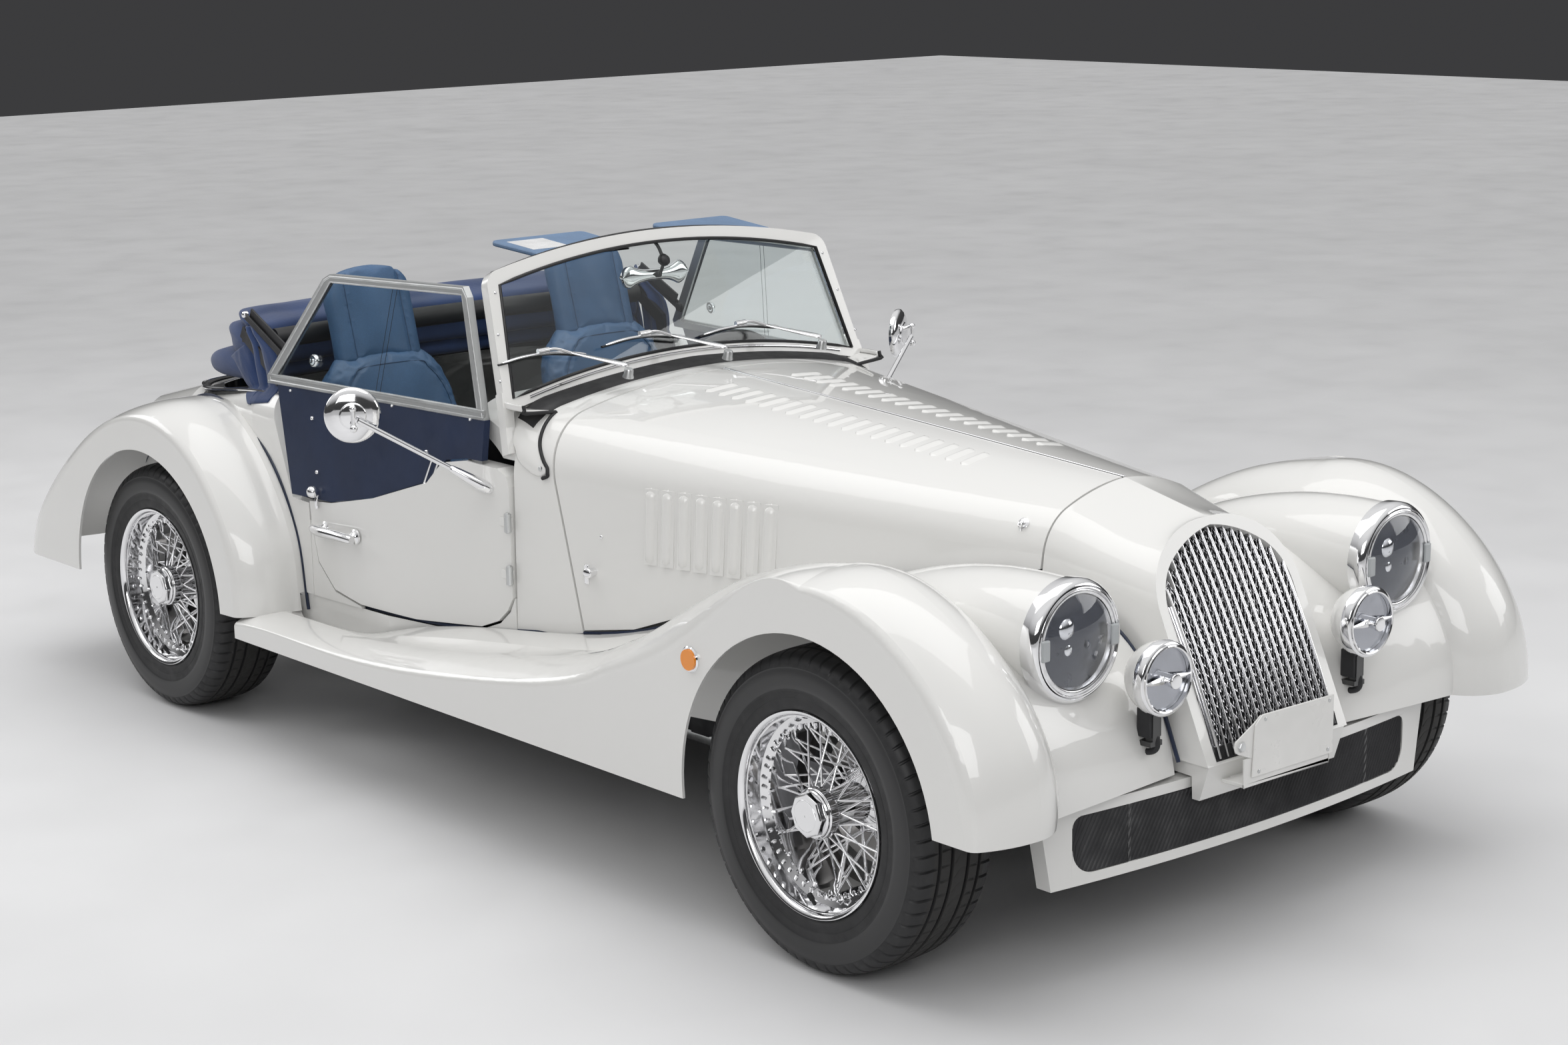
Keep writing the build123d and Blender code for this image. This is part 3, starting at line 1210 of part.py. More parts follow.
def wheel_arm(turn):
    """One of the steering wheel's three flat spokes."""
    with BuildPart() as arm:
        with BuildSketch(SPOKE_PLANE):
            with Locations(Location((0, 0), turn)):
                with Locations((100, 0)):
                    Rectangle(150, 26)
        extrude(amount=5)
    return arm.part


with BuildPart() as steering_wheel:
    with BuildSketch(Plane(origin=Vector(*WHEEL_CENTRE) + Vector(178, 0, 0), x_dir=(1, 0, 0),
                           z_dir=steer_plane.y_dir)):
        Circle(14)
    revolve(axis=Axis(WHEEL_CENTRE, tuple(steer_dir)))
    with BuildSketch(steer_plane.offset(-22)):
        Circle(34)
    extrude(amount=30)
    for turn in (90, 210, 330):
        add(wheel_arm(turn))
write("steering_wheel", steering_wheel.part)

with BuildPart() as steering_column:
    with BuildSketch(steer_plane.offset(-24)):
        Circle(22)
    extrude(amount=-190)
    with BuildSketch(steer_plane.offset(-24)):
        Circle(12)
    extrude(amount=-560)
    add(dashboard.part, mode=Mode.SUBTRACT)
    add(scuttle.part, mode=Mode.SUBTRACT)
write("steering_column", largest(steering_column.part))

SEAT_W = 420
SEAT_FRONT_Y = 120
SEAT_BACK_Y = 580
SEAT_LEAN = 16
SEAT_BASE_Z = FLOOR_Z + FLOOR_T + 1


def seat_back(x):
    """Reclined back with rounded shoulders, and a headrest on top."""
    lean = radians(SEAT_LEAN)
    back_plane = Plane(origin=(x, SEAT_BACK_Y, SEAT_BASE_Z + 170), x_dir=(1, 0, 0),
                       z_dir=(0, -cos(lean), sin(lean)))
    with BuildPart() as back:
        with BuildSketch(back_plane):
            with Locations((0, 250)):
                RectangleRounded(SEAT_W, 500, 70)
        extrude(amount=-110)
        with BuildSketch(back_plane.offset(-15)):
            with Locations((0, 560)):
                RectangleRounded(250, 250, 60)
        extrude(amount=-80)
    return back.part


with BuildPart() as seats:
    for x in (-SEAT_X, SEAT_X):
        add(block((x - SEAT_W / 2 + 20, x + SEAT_W / 2 - 20),
                  (SEAT_FRONT_Y + 20, SEAT_BACK_Y + 40), (SEAT_BASE_Z, SEAT_BASE_Z + 70)))
        add(block((x - SEAT_W / 2, x + SEAT_W / 2),
                  (SEAT_FRONT_Y, SEAT_BACK_Y + 60), (SEAT_BASE_Z + 70, SEAT_BASE_Z + 190)))
        add(seat_back(x))
write("seats", seats.part)

# ---------------------------------------------------------------- folded hood
HOOD_HALF = 590
HOOD_SEAT = 0.3               # above the body's rim
HOOD_OUTLINE = [(860, 800), (1240, 780), (1262, 862), (1225, 915), (1120, 935),
                (1040, 988), (960, 1010), (875, 955)]
with BuildPart() as hood_stack:
    with BuildSketch(Plane.YZ.offset(-HOOD_HALF)):
        with BuildLine():
            Polyline(*HOOD_OUTLINE, close=True)
        make_face()
    extrude(amount=2 * HOOD_HALF)
    fillet(hood_stack.edges().filter_by(Axis.X), radius=18)

with BuildPart() as folded_hood:
    add(hood_stack.part)
    add(rear_solid.part, mode=Mode.SUBTRACT)
write("folded_hood", folded_hood.part.moved(Location((0, 0, HOOD_SEAT))))

# bent irons beside the stack, standing on the body's rim
IRON_X = (596, 608)
IRON_OUTLINE = [(780, 800), (812, 800), (836, 880), (960, 958), (944, 984), (806, 900)]
with BuildPart() as hood_iron:
    add(slab_between(IRON_X, IRON_OUTLINE))
    add(block((HOOD_HALF - 4, IRON_X[1]), (925, 950), (945, 965)))
    add(rear_solid.part, mode=Mode.SUBTRACT)
    add(folded_hood.part, mode=Mode.SUBTRACT)
write("hood_frame", both_sides(largest(hood_iron.part).moved(Location((0, 0, HOOD_SEAT)))))
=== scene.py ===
"""Looks of the roadster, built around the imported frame.

Metres, in the frame of the CAD model: +Z up, the front at -Y, the car's right at -X.
"""
import json
from math import cos, pi, radians, sin, sqrt

import bmesh
import bpy
from mathutils import Matrix, Vector, noise
from mathutils.bvhtree import BVHTree


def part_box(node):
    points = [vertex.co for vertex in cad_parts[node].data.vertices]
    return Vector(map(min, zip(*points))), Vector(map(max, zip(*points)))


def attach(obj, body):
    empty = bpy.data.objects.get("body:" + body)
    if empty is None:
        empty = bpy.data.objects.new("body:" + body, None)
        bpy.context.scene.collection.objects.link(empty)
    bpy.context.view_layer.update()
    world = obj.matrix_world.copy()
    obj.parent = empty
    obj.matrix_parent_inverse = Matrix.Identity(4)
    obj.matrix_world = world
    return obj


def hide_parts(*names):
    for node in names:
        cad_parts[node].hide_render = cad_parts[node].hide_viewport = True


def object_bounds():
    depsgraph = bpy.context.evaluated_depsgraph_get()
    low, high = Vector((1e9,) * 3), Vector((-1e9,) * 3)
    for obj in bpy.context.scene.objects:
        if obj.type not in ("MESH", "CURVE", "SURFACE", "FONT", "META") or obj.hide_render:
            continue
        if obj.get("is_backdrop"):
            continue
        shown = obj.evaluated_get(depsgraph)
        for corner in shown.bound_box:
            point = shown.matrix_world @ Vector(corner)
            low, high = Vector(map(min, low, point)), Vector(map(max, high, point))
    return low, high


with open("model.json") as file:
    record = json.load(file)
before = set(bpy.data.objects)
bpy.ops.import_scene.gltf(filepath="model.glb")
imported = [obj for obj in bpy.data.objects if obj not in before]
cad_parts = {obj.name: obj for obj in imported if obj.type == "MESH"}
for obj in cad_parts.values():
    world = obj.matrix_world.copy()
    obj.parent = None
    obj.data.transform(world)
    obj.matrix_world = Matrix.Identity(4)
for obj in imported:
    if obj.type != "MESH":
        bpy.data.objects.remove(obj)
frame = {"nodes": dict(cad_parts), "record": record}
nodes = frame["nodes"]
cad_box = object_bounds()
scene = bpy.context.scene
SIDES = (("left", 1), ("right", -1))


# ------------------------------ camera, stage and light
CAMERA_AT = (-4.0787, -5.1562, 1.9785)
YAW, PITCH, ROLL = radians(40.535), radians(12.38), radians(-0.995)
LENS_MM, SENSOR_MM = 64.646, 36

ahead = Vector((sin(YAW) * cos(PITCH), cos(YAW) * cos(PITCH), -sin(PITCH)))
level = Vector((cos(YAW), -sin(YAW), 0))
above = level.cross(ahead)
right = cos(ROLL) * level + sin(ROLL) * above
upward = cos(ROLL) * above - sin(ROLL) * level
camera = bpy.data.objects.new("camera", bpy.data.cameras.new("camera"))
camera.matrix_world = Matrix((right, upward, -ahead)).transposed().to_4x4()
camera.location = CAMERA_AT
camera.data.lens = LENS_MM
camera.data.sensor_width = SENSOR_MM
scene.collection.objects.link(camera)
scene.camera = camera
scene.view_settings.view_transform = "Standard"


# ------------------------------ materials
class Finish:
    """One Principled material, built up in the piece's own coordinates."""

    def __init__(self, name, colour, rough=0.5, metal=0.0, **more):
        self.material = bpy.data.materials.new(name)
        self.material.use_nodes = True
        self.tree = self.material.node_tree
        self.shader = self.tree.nodes["Principled BSDF"]
        self.place = self.node("ShaderNodeTexCoord").outputs["Object"]
        self.facing = self.place.node.outputs["Normal"]
        self.now = {"Base Color": (*colour, 1), "Roughness": rough, "Metallic": metal}
        for socket, value in self.now.items():
            self.shader.inputs[socket].default_value = value
        for socket, value in more.items():
            title = socket.replace("_", " ").title().replace("Ior", "IOR")
            self.shader.inputs[title].default_value = value
        self.height = None

    def node(self, kind, feeds=None, **props):
        made = self.tree.nodes.new(kind)
        for name, value in props.items():
            setattr(made, name, value)
        for key, value in (feeds or {}).items():
            self.feed(made.inputs[key], value)
        return made

    def feed(self, socket, value):
        if isinstance(value, bpy.types.NodeSocket):
            self.tree.links.new(value, socket)
        else:
            socket.default_value = value

    def put(self, name, value):
        self.feed(self.shader.inputs[name], value)
        self.now[name] = value
        return self

    def stretched(self, stretch):
        if stretch == (1, 1, 1):
            return self.place
        return self.node("ShaderNodeMapping", {"Vector": self.place, "Scale": stretch}).outputs[0]

    def noise(self, scale, detail=2.0, stretch=(1, 1, 1)):
        feeds = {"Vector": self.stretched(stretch), "Scale": scale, "Detail": detail}
        return self.node("ShaderNodeTexNoise", feeds).outputs[0]

    def cells(self, scale, feature="F1"):
        feeds = {"Vector": self.place, "Scale": scale}
        return self.node("ShaderNodeTexVoronoi", feeds, feature=feature).outputs[0]

    def math(self, operation, a, b=0.0, clamp=False):
        return self.node("ShaderNodeMath", {0: a, 1: b}, operation=operation, use_clamp=clamp).outputs[0]

    def along(self, axis, source=None):
        return self.node("ShaderNodeSeparateXYZ", {0: source or self.place}).outputs["XYZ".index(axis)]

    def below(self, axis, limit):
        return self.math("LESS_THAN", self.along(axis), limit)

    def outward(self):
        """1 on faces that look straight away from the car's middle plane, -1 on those that look at it."""
        return self.math("MULTIPLY", self.along("X", self.facing), self.math("SIGN", self.along("X")))

    def spread(self, fac, low, high, start=0.3, end=0.7):
        feeds = {"Value": fac, "From Min": start, "From Max": end, "To Min": low, "To Max": high}
        return self.node("ShaderNodeMapRange", feeds).outputs[0]

    def mixed(self, fac, a, b, blend="MIX"):
        mix = self.node("ShaderNodeMix", data_type="RGBA", blend_type=blend)
        for key, kind, value in (("Factor", "VALUE", fac), ("A", "RGBA", a), ("B", "RGBA", b)):
            self.feed(next(s for s in mix.inputs if (s.name, s.type) == (key, kind)), value)
        return next(s for s in mix.outputs if s.type == "RGBA")

    def vary(self, fac, low, high):
        """Colour scaled from low to high times itself as the texture goes from dark to bright."""
        grey = [self.spread(fac, low, high)] * 3
        shade = self.node("ShaderNodeCombineColor", dict(enumerate(grey))).outputs[0]
        return self.put("Base Color", self.mixed(1.0, self.now["Base Color"], shade, "MULTIPLY"))

    def worn(self, fac, low, high):
        """Roughness from low to high."""
        return self.put("Roughness", self.spread(fac, low, high))

    def where(self, mask, colour=None, rough=None, metal=None):
        """Another finish where the mask is 1."""
        if colour is not None:
            self.put("Base Color", self.mixed(mask, self.now["Base Color"], (*colour, 1)))
        for name, value in (("Roughness", rough), ("Metallic", metal)):
            if value is not None:
                mix = self.node("ShaderNodeMix", {0: mask}, data_type="FLOAT")
                self.feed(mix.inputs[2], self.now[name])
                self.feed(mix.inputs[3], value)
                self.put(name, mix.outputs[0])
        return self

    def bump(self, height, strength, distance):
        feeds = {"Height": height, "Strength": strength, "Distance": distance}
        if self.height:
            feeds["Normal"] = self.height
        self.height = self.node("ShaderNodeBump", feeds).outputs[0]
        self.feed(self.shader.inputs["Normal"], self.height)
        return self

    def inside(self, low, high):
        """1 inside a box of the piece's own coordinates; None leaves a side open."""
        mask = None
        for axis, a, b in zip("XYZ", low, high):
            value = self.along(axis)
            for operation, limit in (("GREATER_THAN", a), ("LESS_THAN", b)):
                if limit is not None:
                    hit = self.math(operation, value, limit)
                    mask = hit if mask is None else self.math("MULTIPLY", mask, hit)
        return mask

    def near(self, point, radius):
        gap = self.node("ShaderNodeVectorMath", {0: self.place, 1: point}, operation="DISTANCE")
        return self.math("LESS_THAN", gap.outputs["Value"], radius)

    def weave(self, pitch, strength=0.5, depth=0.0003):
        """Over-and-under threads on every face."""
        feeds = {"Vector": self.place, "Scale": pi / (10 * pitch), "Distortion": 0.4}
        x, y, z = (self.node("ShaderNodeTexWave", feeds, bands_direction=axis).outputs[1] for axis in "XYZ")
        return self.bump(self.math("MULTIPLY", self.math("ADD", x, y), z), strength, depth)


PEARL = (0.76, 0.755, 0.735)
BLACK = (0.012, 0.012, 0.013)
STEEL_BLUE = (0.055, 0.125, 0.245)
BRIGHT = (0.86, 0.86, 0.87)


def pearl_paint(name="pearl_paint"):
    f = Finish(name, PEARL, 0.34, coat_weight=1.0, coat_roughness=0.03)
    f.vary(f.noise(1.5, 2), 0.985, 1.015)
    f.worn(f.noise(3, 2), 0.33, 0.36)
    return f.bump(f.noise(220, 1), 0.015, 0.0002)


def chrome(name="chrome", rough=0.05, colour=BRIGHT):
    f = Finish(name, colour, rough, 1.0)
    f.worn(f.noise(30, 3), rough * 0.7, rough * 1.8)
    return f.bump(f.noise(60, 2), 0.02, 0.0004)


def brushed(name, colour, rough, stretch=(1, 1, 1)):
    f = Finish(name, colour, rough, 1.0)
    f.vary(f.noise(90, 3, stretch), 0.9, 1.1)
    f.worn(f.noise(50, 3, stretch), rough * 0.8, rough * 1.3)
    return f.bump(f.noise(400, 2, stretch), 0.08, 0.0003)


def leather(name, colour, rough=0.45):
    f = Finish(name, colour, rough, coat_weight=0.08, coat_roughness=0.3)
    f.vary(f.noise(9, 3), 0.88, 1.12)
    f.vary(f.cells(420), 0.93, 1.06)
    f.worn(f.noise(20, 3), rough * 0.85, rough * 1.2)
    f.bump(f.cells(420, "DISTANCE_TO_EDGE"), 0.25, 0.0006)
    return f.bump(f.noise(26, 2), 0.12, 0.003)


def cloth(name, colour, pitch=0.0016):
    f = Finish(name, colour, 0.85, sheen_weight=0.25, sheen_roughness=0.5)
    f.vary(f.noise(7, 3), 0.85, 1.18)
    f.vary(f.noise(900, 1), 0.85, 1.15)
    f.worn(f.noise(12, 2), 0.78, 0.92)
    f.weave(pitch)
    return f.bump(f.noise(14, 3), 0.15, 0.006)


def rubber(name="rubber", colour=BLACK, rough=0.6):
    f = Finish(name, colour, rough)
    f.vary(f.noise(16, 3), 0.8, 1.25)
    f.worn(f.noise(30, 3), rough * 0.85, rough * 1.15)
    return f.bump(f.noise(800, 2), 0.1, 0.0003)


def black_paint(name="black_paint", rough=0.4):
    f = Finish(name, (0.018, 0.018, 0.02), rough)
    f.vary(f.noise(6, 4), 0.75, 1.3)
    f.worn(f.noise(18, 4), rough * 0.8, rough * 1.5)
    return f.bump(f.noise(350, 2), 0.06, 0.0004)


def clear(name, colour=(0.93, 0.97, 0.96), rough=0.0, alpha=1.0):
    f = Finish(name, colour, rough, transmission_weight=1.0, ior=1.45, alpha=alpha)
    return f.worn(f.noise(3, 3), 0.0, 0.012)


def plastic(name, colour, rough=0.25, **more):
    f = Finish(name, colour, rough, **more)
    f.vary(f.noise(12, 2), 0.96, 1.04)
    return f.worn(f.noise(25, 3), rough * 0.8, rough * 1.3)


PAINT = pearl_paint().material
CHROME = chrome().material
SATIN = brushed("satin_aluminium", (0.62, 0.63, 0.63), 0.32, (1, 1, 0.1)).material
RUBBER = rubber().material
GASKET = rubber("gasket", (0.008, 0.008, 0.009), 0.35).material
BLACK_PAINT = black_paint().material
TRIM = leather("black_trim", (0.014, 0.014, 0.015), 0.5).material
BLUE_LEATHER = leather("blue_leather", STEEL_BLUE).material
HOOD_CLOTH = cloth("hood_cloth", (0.016, 0.04, 0.125)).material
GLASS = clear("window_glass").material
LENS = clear("lamp_glass", (0.97, 0.98, 1.0)).material
NAVY_PIPING = rubber("navy_piping", (0.01, 0.018, 0.045), 0.4).material

# ------------------------------ mesh tools
X, Y, Z = Vector((1, 0, 0)), Vector((0, 1, 0)), Vector((0, 0, 1))
MIRRORED = Matrix.Diagonal((-1, 1, 1, 1))
SAME_POINT = 1e-6
BEVEL_FROM = radians(40)


def piece(name, shape, material, body="body", slot=None, replaces=(), bevel=0.0, levels=0, angle=35, at=None):
    """A shape of (points, faces) as a piece on a body, sharp where faces meet at more than the angle."""
    points, faces = shape
    mesh = bpy.data.meshes.new(name)
    mesh.from_pydata([tuple(p) for p in points], [], faces)
    work = bmesh.new()
    work.from_mesh(mesh)
    bmesh.ops.remove_doubles(work, verts=work.verts, dist=SAME_POINT)
    bmesh.ops.recalc_face_normals(work, faces=work.faces)
    work.to_mesh(mesh)
    work.free()
    mesh.polygons.foreach_set("use_smooth", [True] * len(mesh.polygons))
    mesh.set_sharp_from_angle(angle=radians(angle))
    return place(name, mesh, material, body, slot, replaces, bevel, levels, at)


def soften(thing, width, segments):
    """Rounded edges."""
    edge = thing.modifiers.new("edges", "BEVEL")
    edge.width = width
    edge.segments = segments
    edge.angle_limit = BEVEL_FROM


def place(name, mesh, material, body, slot=None, replaces=(), bevel=0.0, levels=0, at=None):
    made = bpy.data.objects.new(name, mesh)
    scene.collection.objects.link(made)
    mesh.materials.append(material)
    if bevel:
        soften(made, bevel, 2)
    if levels:
        smooth = made.modifiers.new("smooth", "SUBSURF")
        smooth.levels = smooth.render_levels = levels
    if at is not None:
        made.location = at
    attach(made, body)
    if replaces:
        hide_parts(*replaces)
    return made


def bright(name, shape, body="body", **more):
    """A chromed piece."""
    return piece(name, shape, CHROME, body, "bright_trim", **more)


def join(*shapes):
    points, faces = [], []
    for more, rings in shapes:
        start = len(points)
        points += [Vector(p) for p in more]
        faces += [tuple(start + i for i in face) for face in rings]
    return points, faces


def moved(shape, matrix):
    return [matrix @ Vector(p) for p in shape[0]], shape[1]


def twice(shape):
    """The shape and its mirror image."""
    return join(shape, moved(shape, MIRRORED))


def grid(rows, closed=False, capped=False):
    """Faces over rows of points; closed joins each row's ends."""
    wide = len(rows[0])
    faces = []
    for r in range(len(rows) - 1):
        for c in range(wide if closed else wide - 1):
            d = (c + 1) % wide
            faces.append((r * wide + c, r * wide + d, (r + 1) * wide + d, (r + 1) * wide + c))
    if capped:
        faces += [tuple(range(wide)), tuple(range((len(rows) - 1) * wide, len(rows) * wide))]
    return [p for row in rows for p in row], faces


def frame_of(along):
    """The direction and two more at right angles to it."""
    along = Vector(along).normalized()
    side = along.cross(Z if abs(along.z) < 0.9 else X).normalized()
    return along, side, along.cross(side)


def round_angles(count):
    return [2 * pi * k / count for k in range(count)]


def turned(profile, at, along, steps=48, capped=True):
    """Profile of (distance along, radius) turned about an axis."""
    along, side, other = frame_of(along)
    around = [side * cos(a) + other * sin(a) for a in round_angles(steps)]
    rows = [[Vector(at) + along * reach + way * radius for way in around] for reach, radius in profile]
    return grid(rows, closed=True, capped=capped)


def ring(profile, at, along, steps=64):
    """Closed profile turned about an axis."""
    return turned(list(profile) + [profile[0]], at, along, steps, capped=False)


def spline(points, steps=6, closed=False):
    """Smooth line through the points."""
    points = [Vector(p) for p in points]
    count = len(points)
    line = []
    for i in range(count if closed else count - 1):
        if closed:
            a, b, c, d = (points[(i + k) % count] for k in (-1, 0, 1, 2))
        else:
            b, c = points[i], points[i + 1]
            a = points[i - 1] if i else 2 * b - c
            d = points[i + 2] if i + 2 < count else 2 * c - b
        for k in range(steps):
            t = k / steps
            line.append(0.5 * (2 * b + (c - a) * t + (2 * a - 5 * b + 4 * c - d) * t * t
                               + (3 * b - a - 3 * c + d) * t ** 3))
    return line if closed else line + [points[-1]]


def tube(line, radius, sides=8, closed=False, flat=1.0):
    """Round bar along a line; radius is a number or one for each point, flat squeezes it one way."""
    line = [Vector(p) for p in line]
    count = len(line)
    rows = []
    side = None
    for i, p in enumerate(line):
        before = line[i - 1] if i or closed else line[0]
        after = line[(i + 1) % count] if i + 1 < count or closed else line[-1]
        along = (after - before).normalized()
        if side is None:
            side = frame_of(along)[1]
        else:
            side = (side - along * side.dot(along)).normalized()
        other = along.cross(side)
        r = radius[i] if isinstance(radius, (list, tuple)) else radius
        rows.append([p + (side * cos(a) + other * sin(a) * flat) * r for a in round_angles(sides)])
    if closed:
        rows.append(rows[0])
    return grid(rows, closed=True, capped=not closed)


def brick(low, high):
    """Box between two corners."""
    (a, b, c), (d, e, f) = low, high
    points = [Vector((x, y, z)) for z in (c, f) for x, y in ((a, b), (d, b), (d, e), (a, e))]
    return points, [(0, 3, 2, 1), (4, 5, 6, 7), (0, 1, 5, 4), (1, 2, 6, 5), (2, 3, 7, 6), (3, 0, 4, 7)]


def slab(outline, depth):
    """Flat outline made thick along a vector."""
    front = [Vector(p) for p in outline]
    count = len(front)
    points = front + [p + Vector(depth) for p in front]
    faces = [tuple(range(count)), tuple(range(2 * count - 1, count - 1, -1))]
    return points, faces + [(k, (k + 1) % count, count + (k + 1) % count, count + k) for k in range(count)]


trees = {}


def skin_at(node, start, direction):
    """Where a ray meets a CAD node: the point and the normal there."""
    if node not in trees:
        work = bmesh.new()
        work.from_mesh(nodes[node].data)
        trees[node] = BVHTree.FromBMesh(work)
        work.free()
    hit, normal, _, _ = trees[node].ray_cast(Vector(start), Vector(direction).normalized())
    return hit, normal


def finish_node(name, material):
    """One material over a whole CAD node."""
    slots = nodes[name].data.materials
    slots.clear()
    slots.append(material)


# ------------------------------ finishes of the CAD nodes
# boxes of black trim, as the lowest and highest corner
REAR_COCKPIT = ((-0.601, 0.45, 0.35), (0.601, 1.19, 0.84))
UNDER_SCUTTLE = ((-0.6, -0.1, 0.0), (0.6, 0.2, 0.905))
BUMPER_SLOT = ((-0.489, None, 0.2225), (0.489, None, 0.3355))
SPOT_RIM_Y, SPOT_FOOT_Z = -1.7975, 0.51
SCREEN_CLOTH_TOP = 0.866
STEERING_HUB, STEERING_HUB_R = (0.335, 0.262, 0.772), 0.15
SPOKES_WITHIN = {"front": 0.626, "rear": 0.606}


def rear_paint():
    """Body paint, black round the cockpit."""
    f = pearl_paint("paint_lined")
    return f.where(f.inside(*REAR_COCKPIT), BLACK, 0.75, 0.0).material


def scuttle_paint():
    """Body paint outside, black on the faces that look into the cockpit."""
    f = pearl_paint("scuttle_lined")
    shown = f.math("ADD", f.outward(), f.along("Z", f.facing))
    inner = f.math("MULTIPLY", f.inside(*UNDER_SCUTTLE), f.math("LESS_THAN", shown, 0.3))
    return f.where(inner, BLACK, 0.75, 0.0).material


def door_paint():
    """Body paint, black on the faces that look into the cockpit."""
    f = pearl_paint("door_paint")
    return f.where(f.math("LESS_THAN", f.outward(), -0.5), BLACK, 0.6, 0.0).material


def sill_paint():
    """Body paint on the sills' outer faces, underbody black elsewhere."""
    f = pearl_paint("sill_paint")
    return f.where(f.math("LESS_THAN", f.outward(), 0.5), BLACK, 0.65, 0.0).material


def bumper_paint():
    """Painted bars with a black slot between them."""
    f = pearl_paint("bumper_paint")
    return f.where(f.inside(*BUMPER_SLOT), (0.02, 0.02, 0.021), 0.5, 0.0).material


def spot_paint():
    """Painted shells with chromed fronts and black feet."""
    f = pearl_paint("spot_paint")
    f.where(f.below("Y", SPOT_RIM_Y), BRIGHT, 0.05, 1.0)
    return f.where(f.below("Z", SPOT_FOOT_Z), BLACK, 0.5, 0.0).material


def screen_cloth():
    """Navy vinyl panel under a satin aluminium frame."""
    f = leather("screen_vinyl", (0.006, 0.016, 0.05), 0.5)
    frame_part = f.math("GREATER_THAN", f.along("Z"), SCREEN_CLOTH_TOP)
    return f.where(frame_part, (0.58, 0.59, 0.59), 0.45, 1.0).material


def lamp_colours():
    """Red lamps behind, amber ones ahead."""
    f = plastic("signal_plastic", (0.5, 0.01, 0.012), 0.15, coat_weight=0.6)
    return f.where(f.below("Y", 0), (0.85, 0.27, 0.012), 0.12).material


def wheel_metal(name, spokes_within):
    """Chromed rims and spokes with grey brake discs nearer the middle."""
    f = chrome(name, 0.06)
    disc = f.math("LESS_THAN", f.math("ABSOLUTE", f.along("X")), spokes_within)
    return f.where(disc, (0.34, 0.33, 0.32), 0.38, 1.0).material


def steering_finish():
    """Leather rim, metal spokes and hub."""
    f = leather("wheel_leather", (0.014, 0.014, 0.015), 0.42)
    return f.where(f.near(STEERING_HUB, STEERING_HUB_R), (0.55, 0.55, 0.56), 0.3, 1.0).material


VISOR = leather("visor_vinyl", (0.13, 0.21, 0.34), 0.5).material
UNDERBODY = black_paint("underbody", 0.65).material
CAST = brushed("cast_metal", (0.3, 0.3, 0.31), 0.5).material
MESH_BLACK = black_paint("mesh_black", 0.5).material

by_slot = {
    "body_paint": PAINT, "black_frame": UNDERBODY, "bright_trim": CHROME, "black_mesh": MESH_BLACK,
    "plate_white": PAINT, "clear_glass": GLASS, "hood_cloth": HOOD_CLOTH, "blue_leather": BLUE_LEATHER,
    "dash_black": TRIM, "steel_pipe": SATIN, "upright": CAST, "tyre_rubber": RUBBER,
    "lamp_plastic": lamp_colours(),
}
for row in frame["record"]["subparts"]:
    finish_node(row["node"], by_slot[row["material_slot"]])
for side, _ in SIDES:
    finish_node("door_" + side, door_paint())
    finish_node("side_screen_" + side, screen_cloth())
    for axle, spokes_within in SPOKES_WITHIN.items():
        finish_node(f"wire_wheel_{axle}_{side}", wheel_metal(f"{axle}_wheel_{side}", spokes_within))
by_name = {
    "rear_body": rear_paint(), "scuttle": scuttle_paint(), "body_floor": sill_paint(),
    "front_bumper": bumper_paint(), "spot_lamps": spot_paint(), "steering_wheel": steering_finish(),
    "sun_visors": VISOR, "lamp_lenses": LENS, "hood_frame": BLACK_PAINT,
}
for name, material in by_name.items():
    finish_node(name, material)
for name, width in (("sun_visors", 0.005), ("dashboard", 0.004), ("windscreen_frame", 0.002),
                    ("front_bumper", 0.003), ("number_plates", 0.001)):
    soften(nodes[name], width, 3)

# ------------------------------ tyres
TYRE_R = 0.3135
PITCHES = 64
TREAD = [
    # across, radius, depth of the cross cuts
    (0.0, 0.3135, 0), (0.01, 0.3135, 0.0015), (0.0155, 0.3133, 0.0), (0.017, 0.3065, 0),
    (0.0235, 0.3065, 0), (0.025, 0.3131, 0), (0.034, 0.3129, 0.003), (0.0435, 0.3124, 0.003),
    (0.046, 0.3122, 0), (0.0475, 0.306, 0), (0.0535, 0.306, 0), (0.055, 0.3115, 0),
    (0.062, 0.3108, 0.004), (0.072, 0.309, 0.004), (0.081, 0.3062, 0.004), (0.088, 0.3022, 0.0035),
    (0.0935, 0.2965, 0.003), (0.0965, 0.29, 0.002), (0.0985, 0.2845, 0),
]
WALL = [
    (0.0993, 0.2835), (0.0993, 0.281), (0.1005, 0.2785), (0.1022, 0.266), (0.1025, 0.252), (0.102, 0.242),
    (0.1012, 0.2405), (0.1004, 0.239), (0.0995, 0.228), (0.0985, 0.2255), (0.0992, 0.2235), (0.0982, 0.212),
    (0.0965, 0.205), (0.093, 0.2005), (0.089, 0.1985), (0.084, 0.1975), (0.08, 0.198),
]
INNER = [(0.078, 0.202), (0.088, 0.225), (0.092, 0.25), (0.088, 0.278), (0.07, 0.294), (0.0, 0.298)]
# share of a pitch, share of the cross cut's depth
CUT_STEPS = ((0.0, 0.0), (0.42, 0.0), (0.5, 1.0), (0.58, 1.0), (0.66, 0.0))
CUT_SKEW = 0.35
WALL_FROM, WALL_TO = 0.243, 0.2835
RIBS_FROM, RIBS_TO, RIB_PITCH = 0.206, 0.239, 0.0016
WORN_FROM = 0.3105


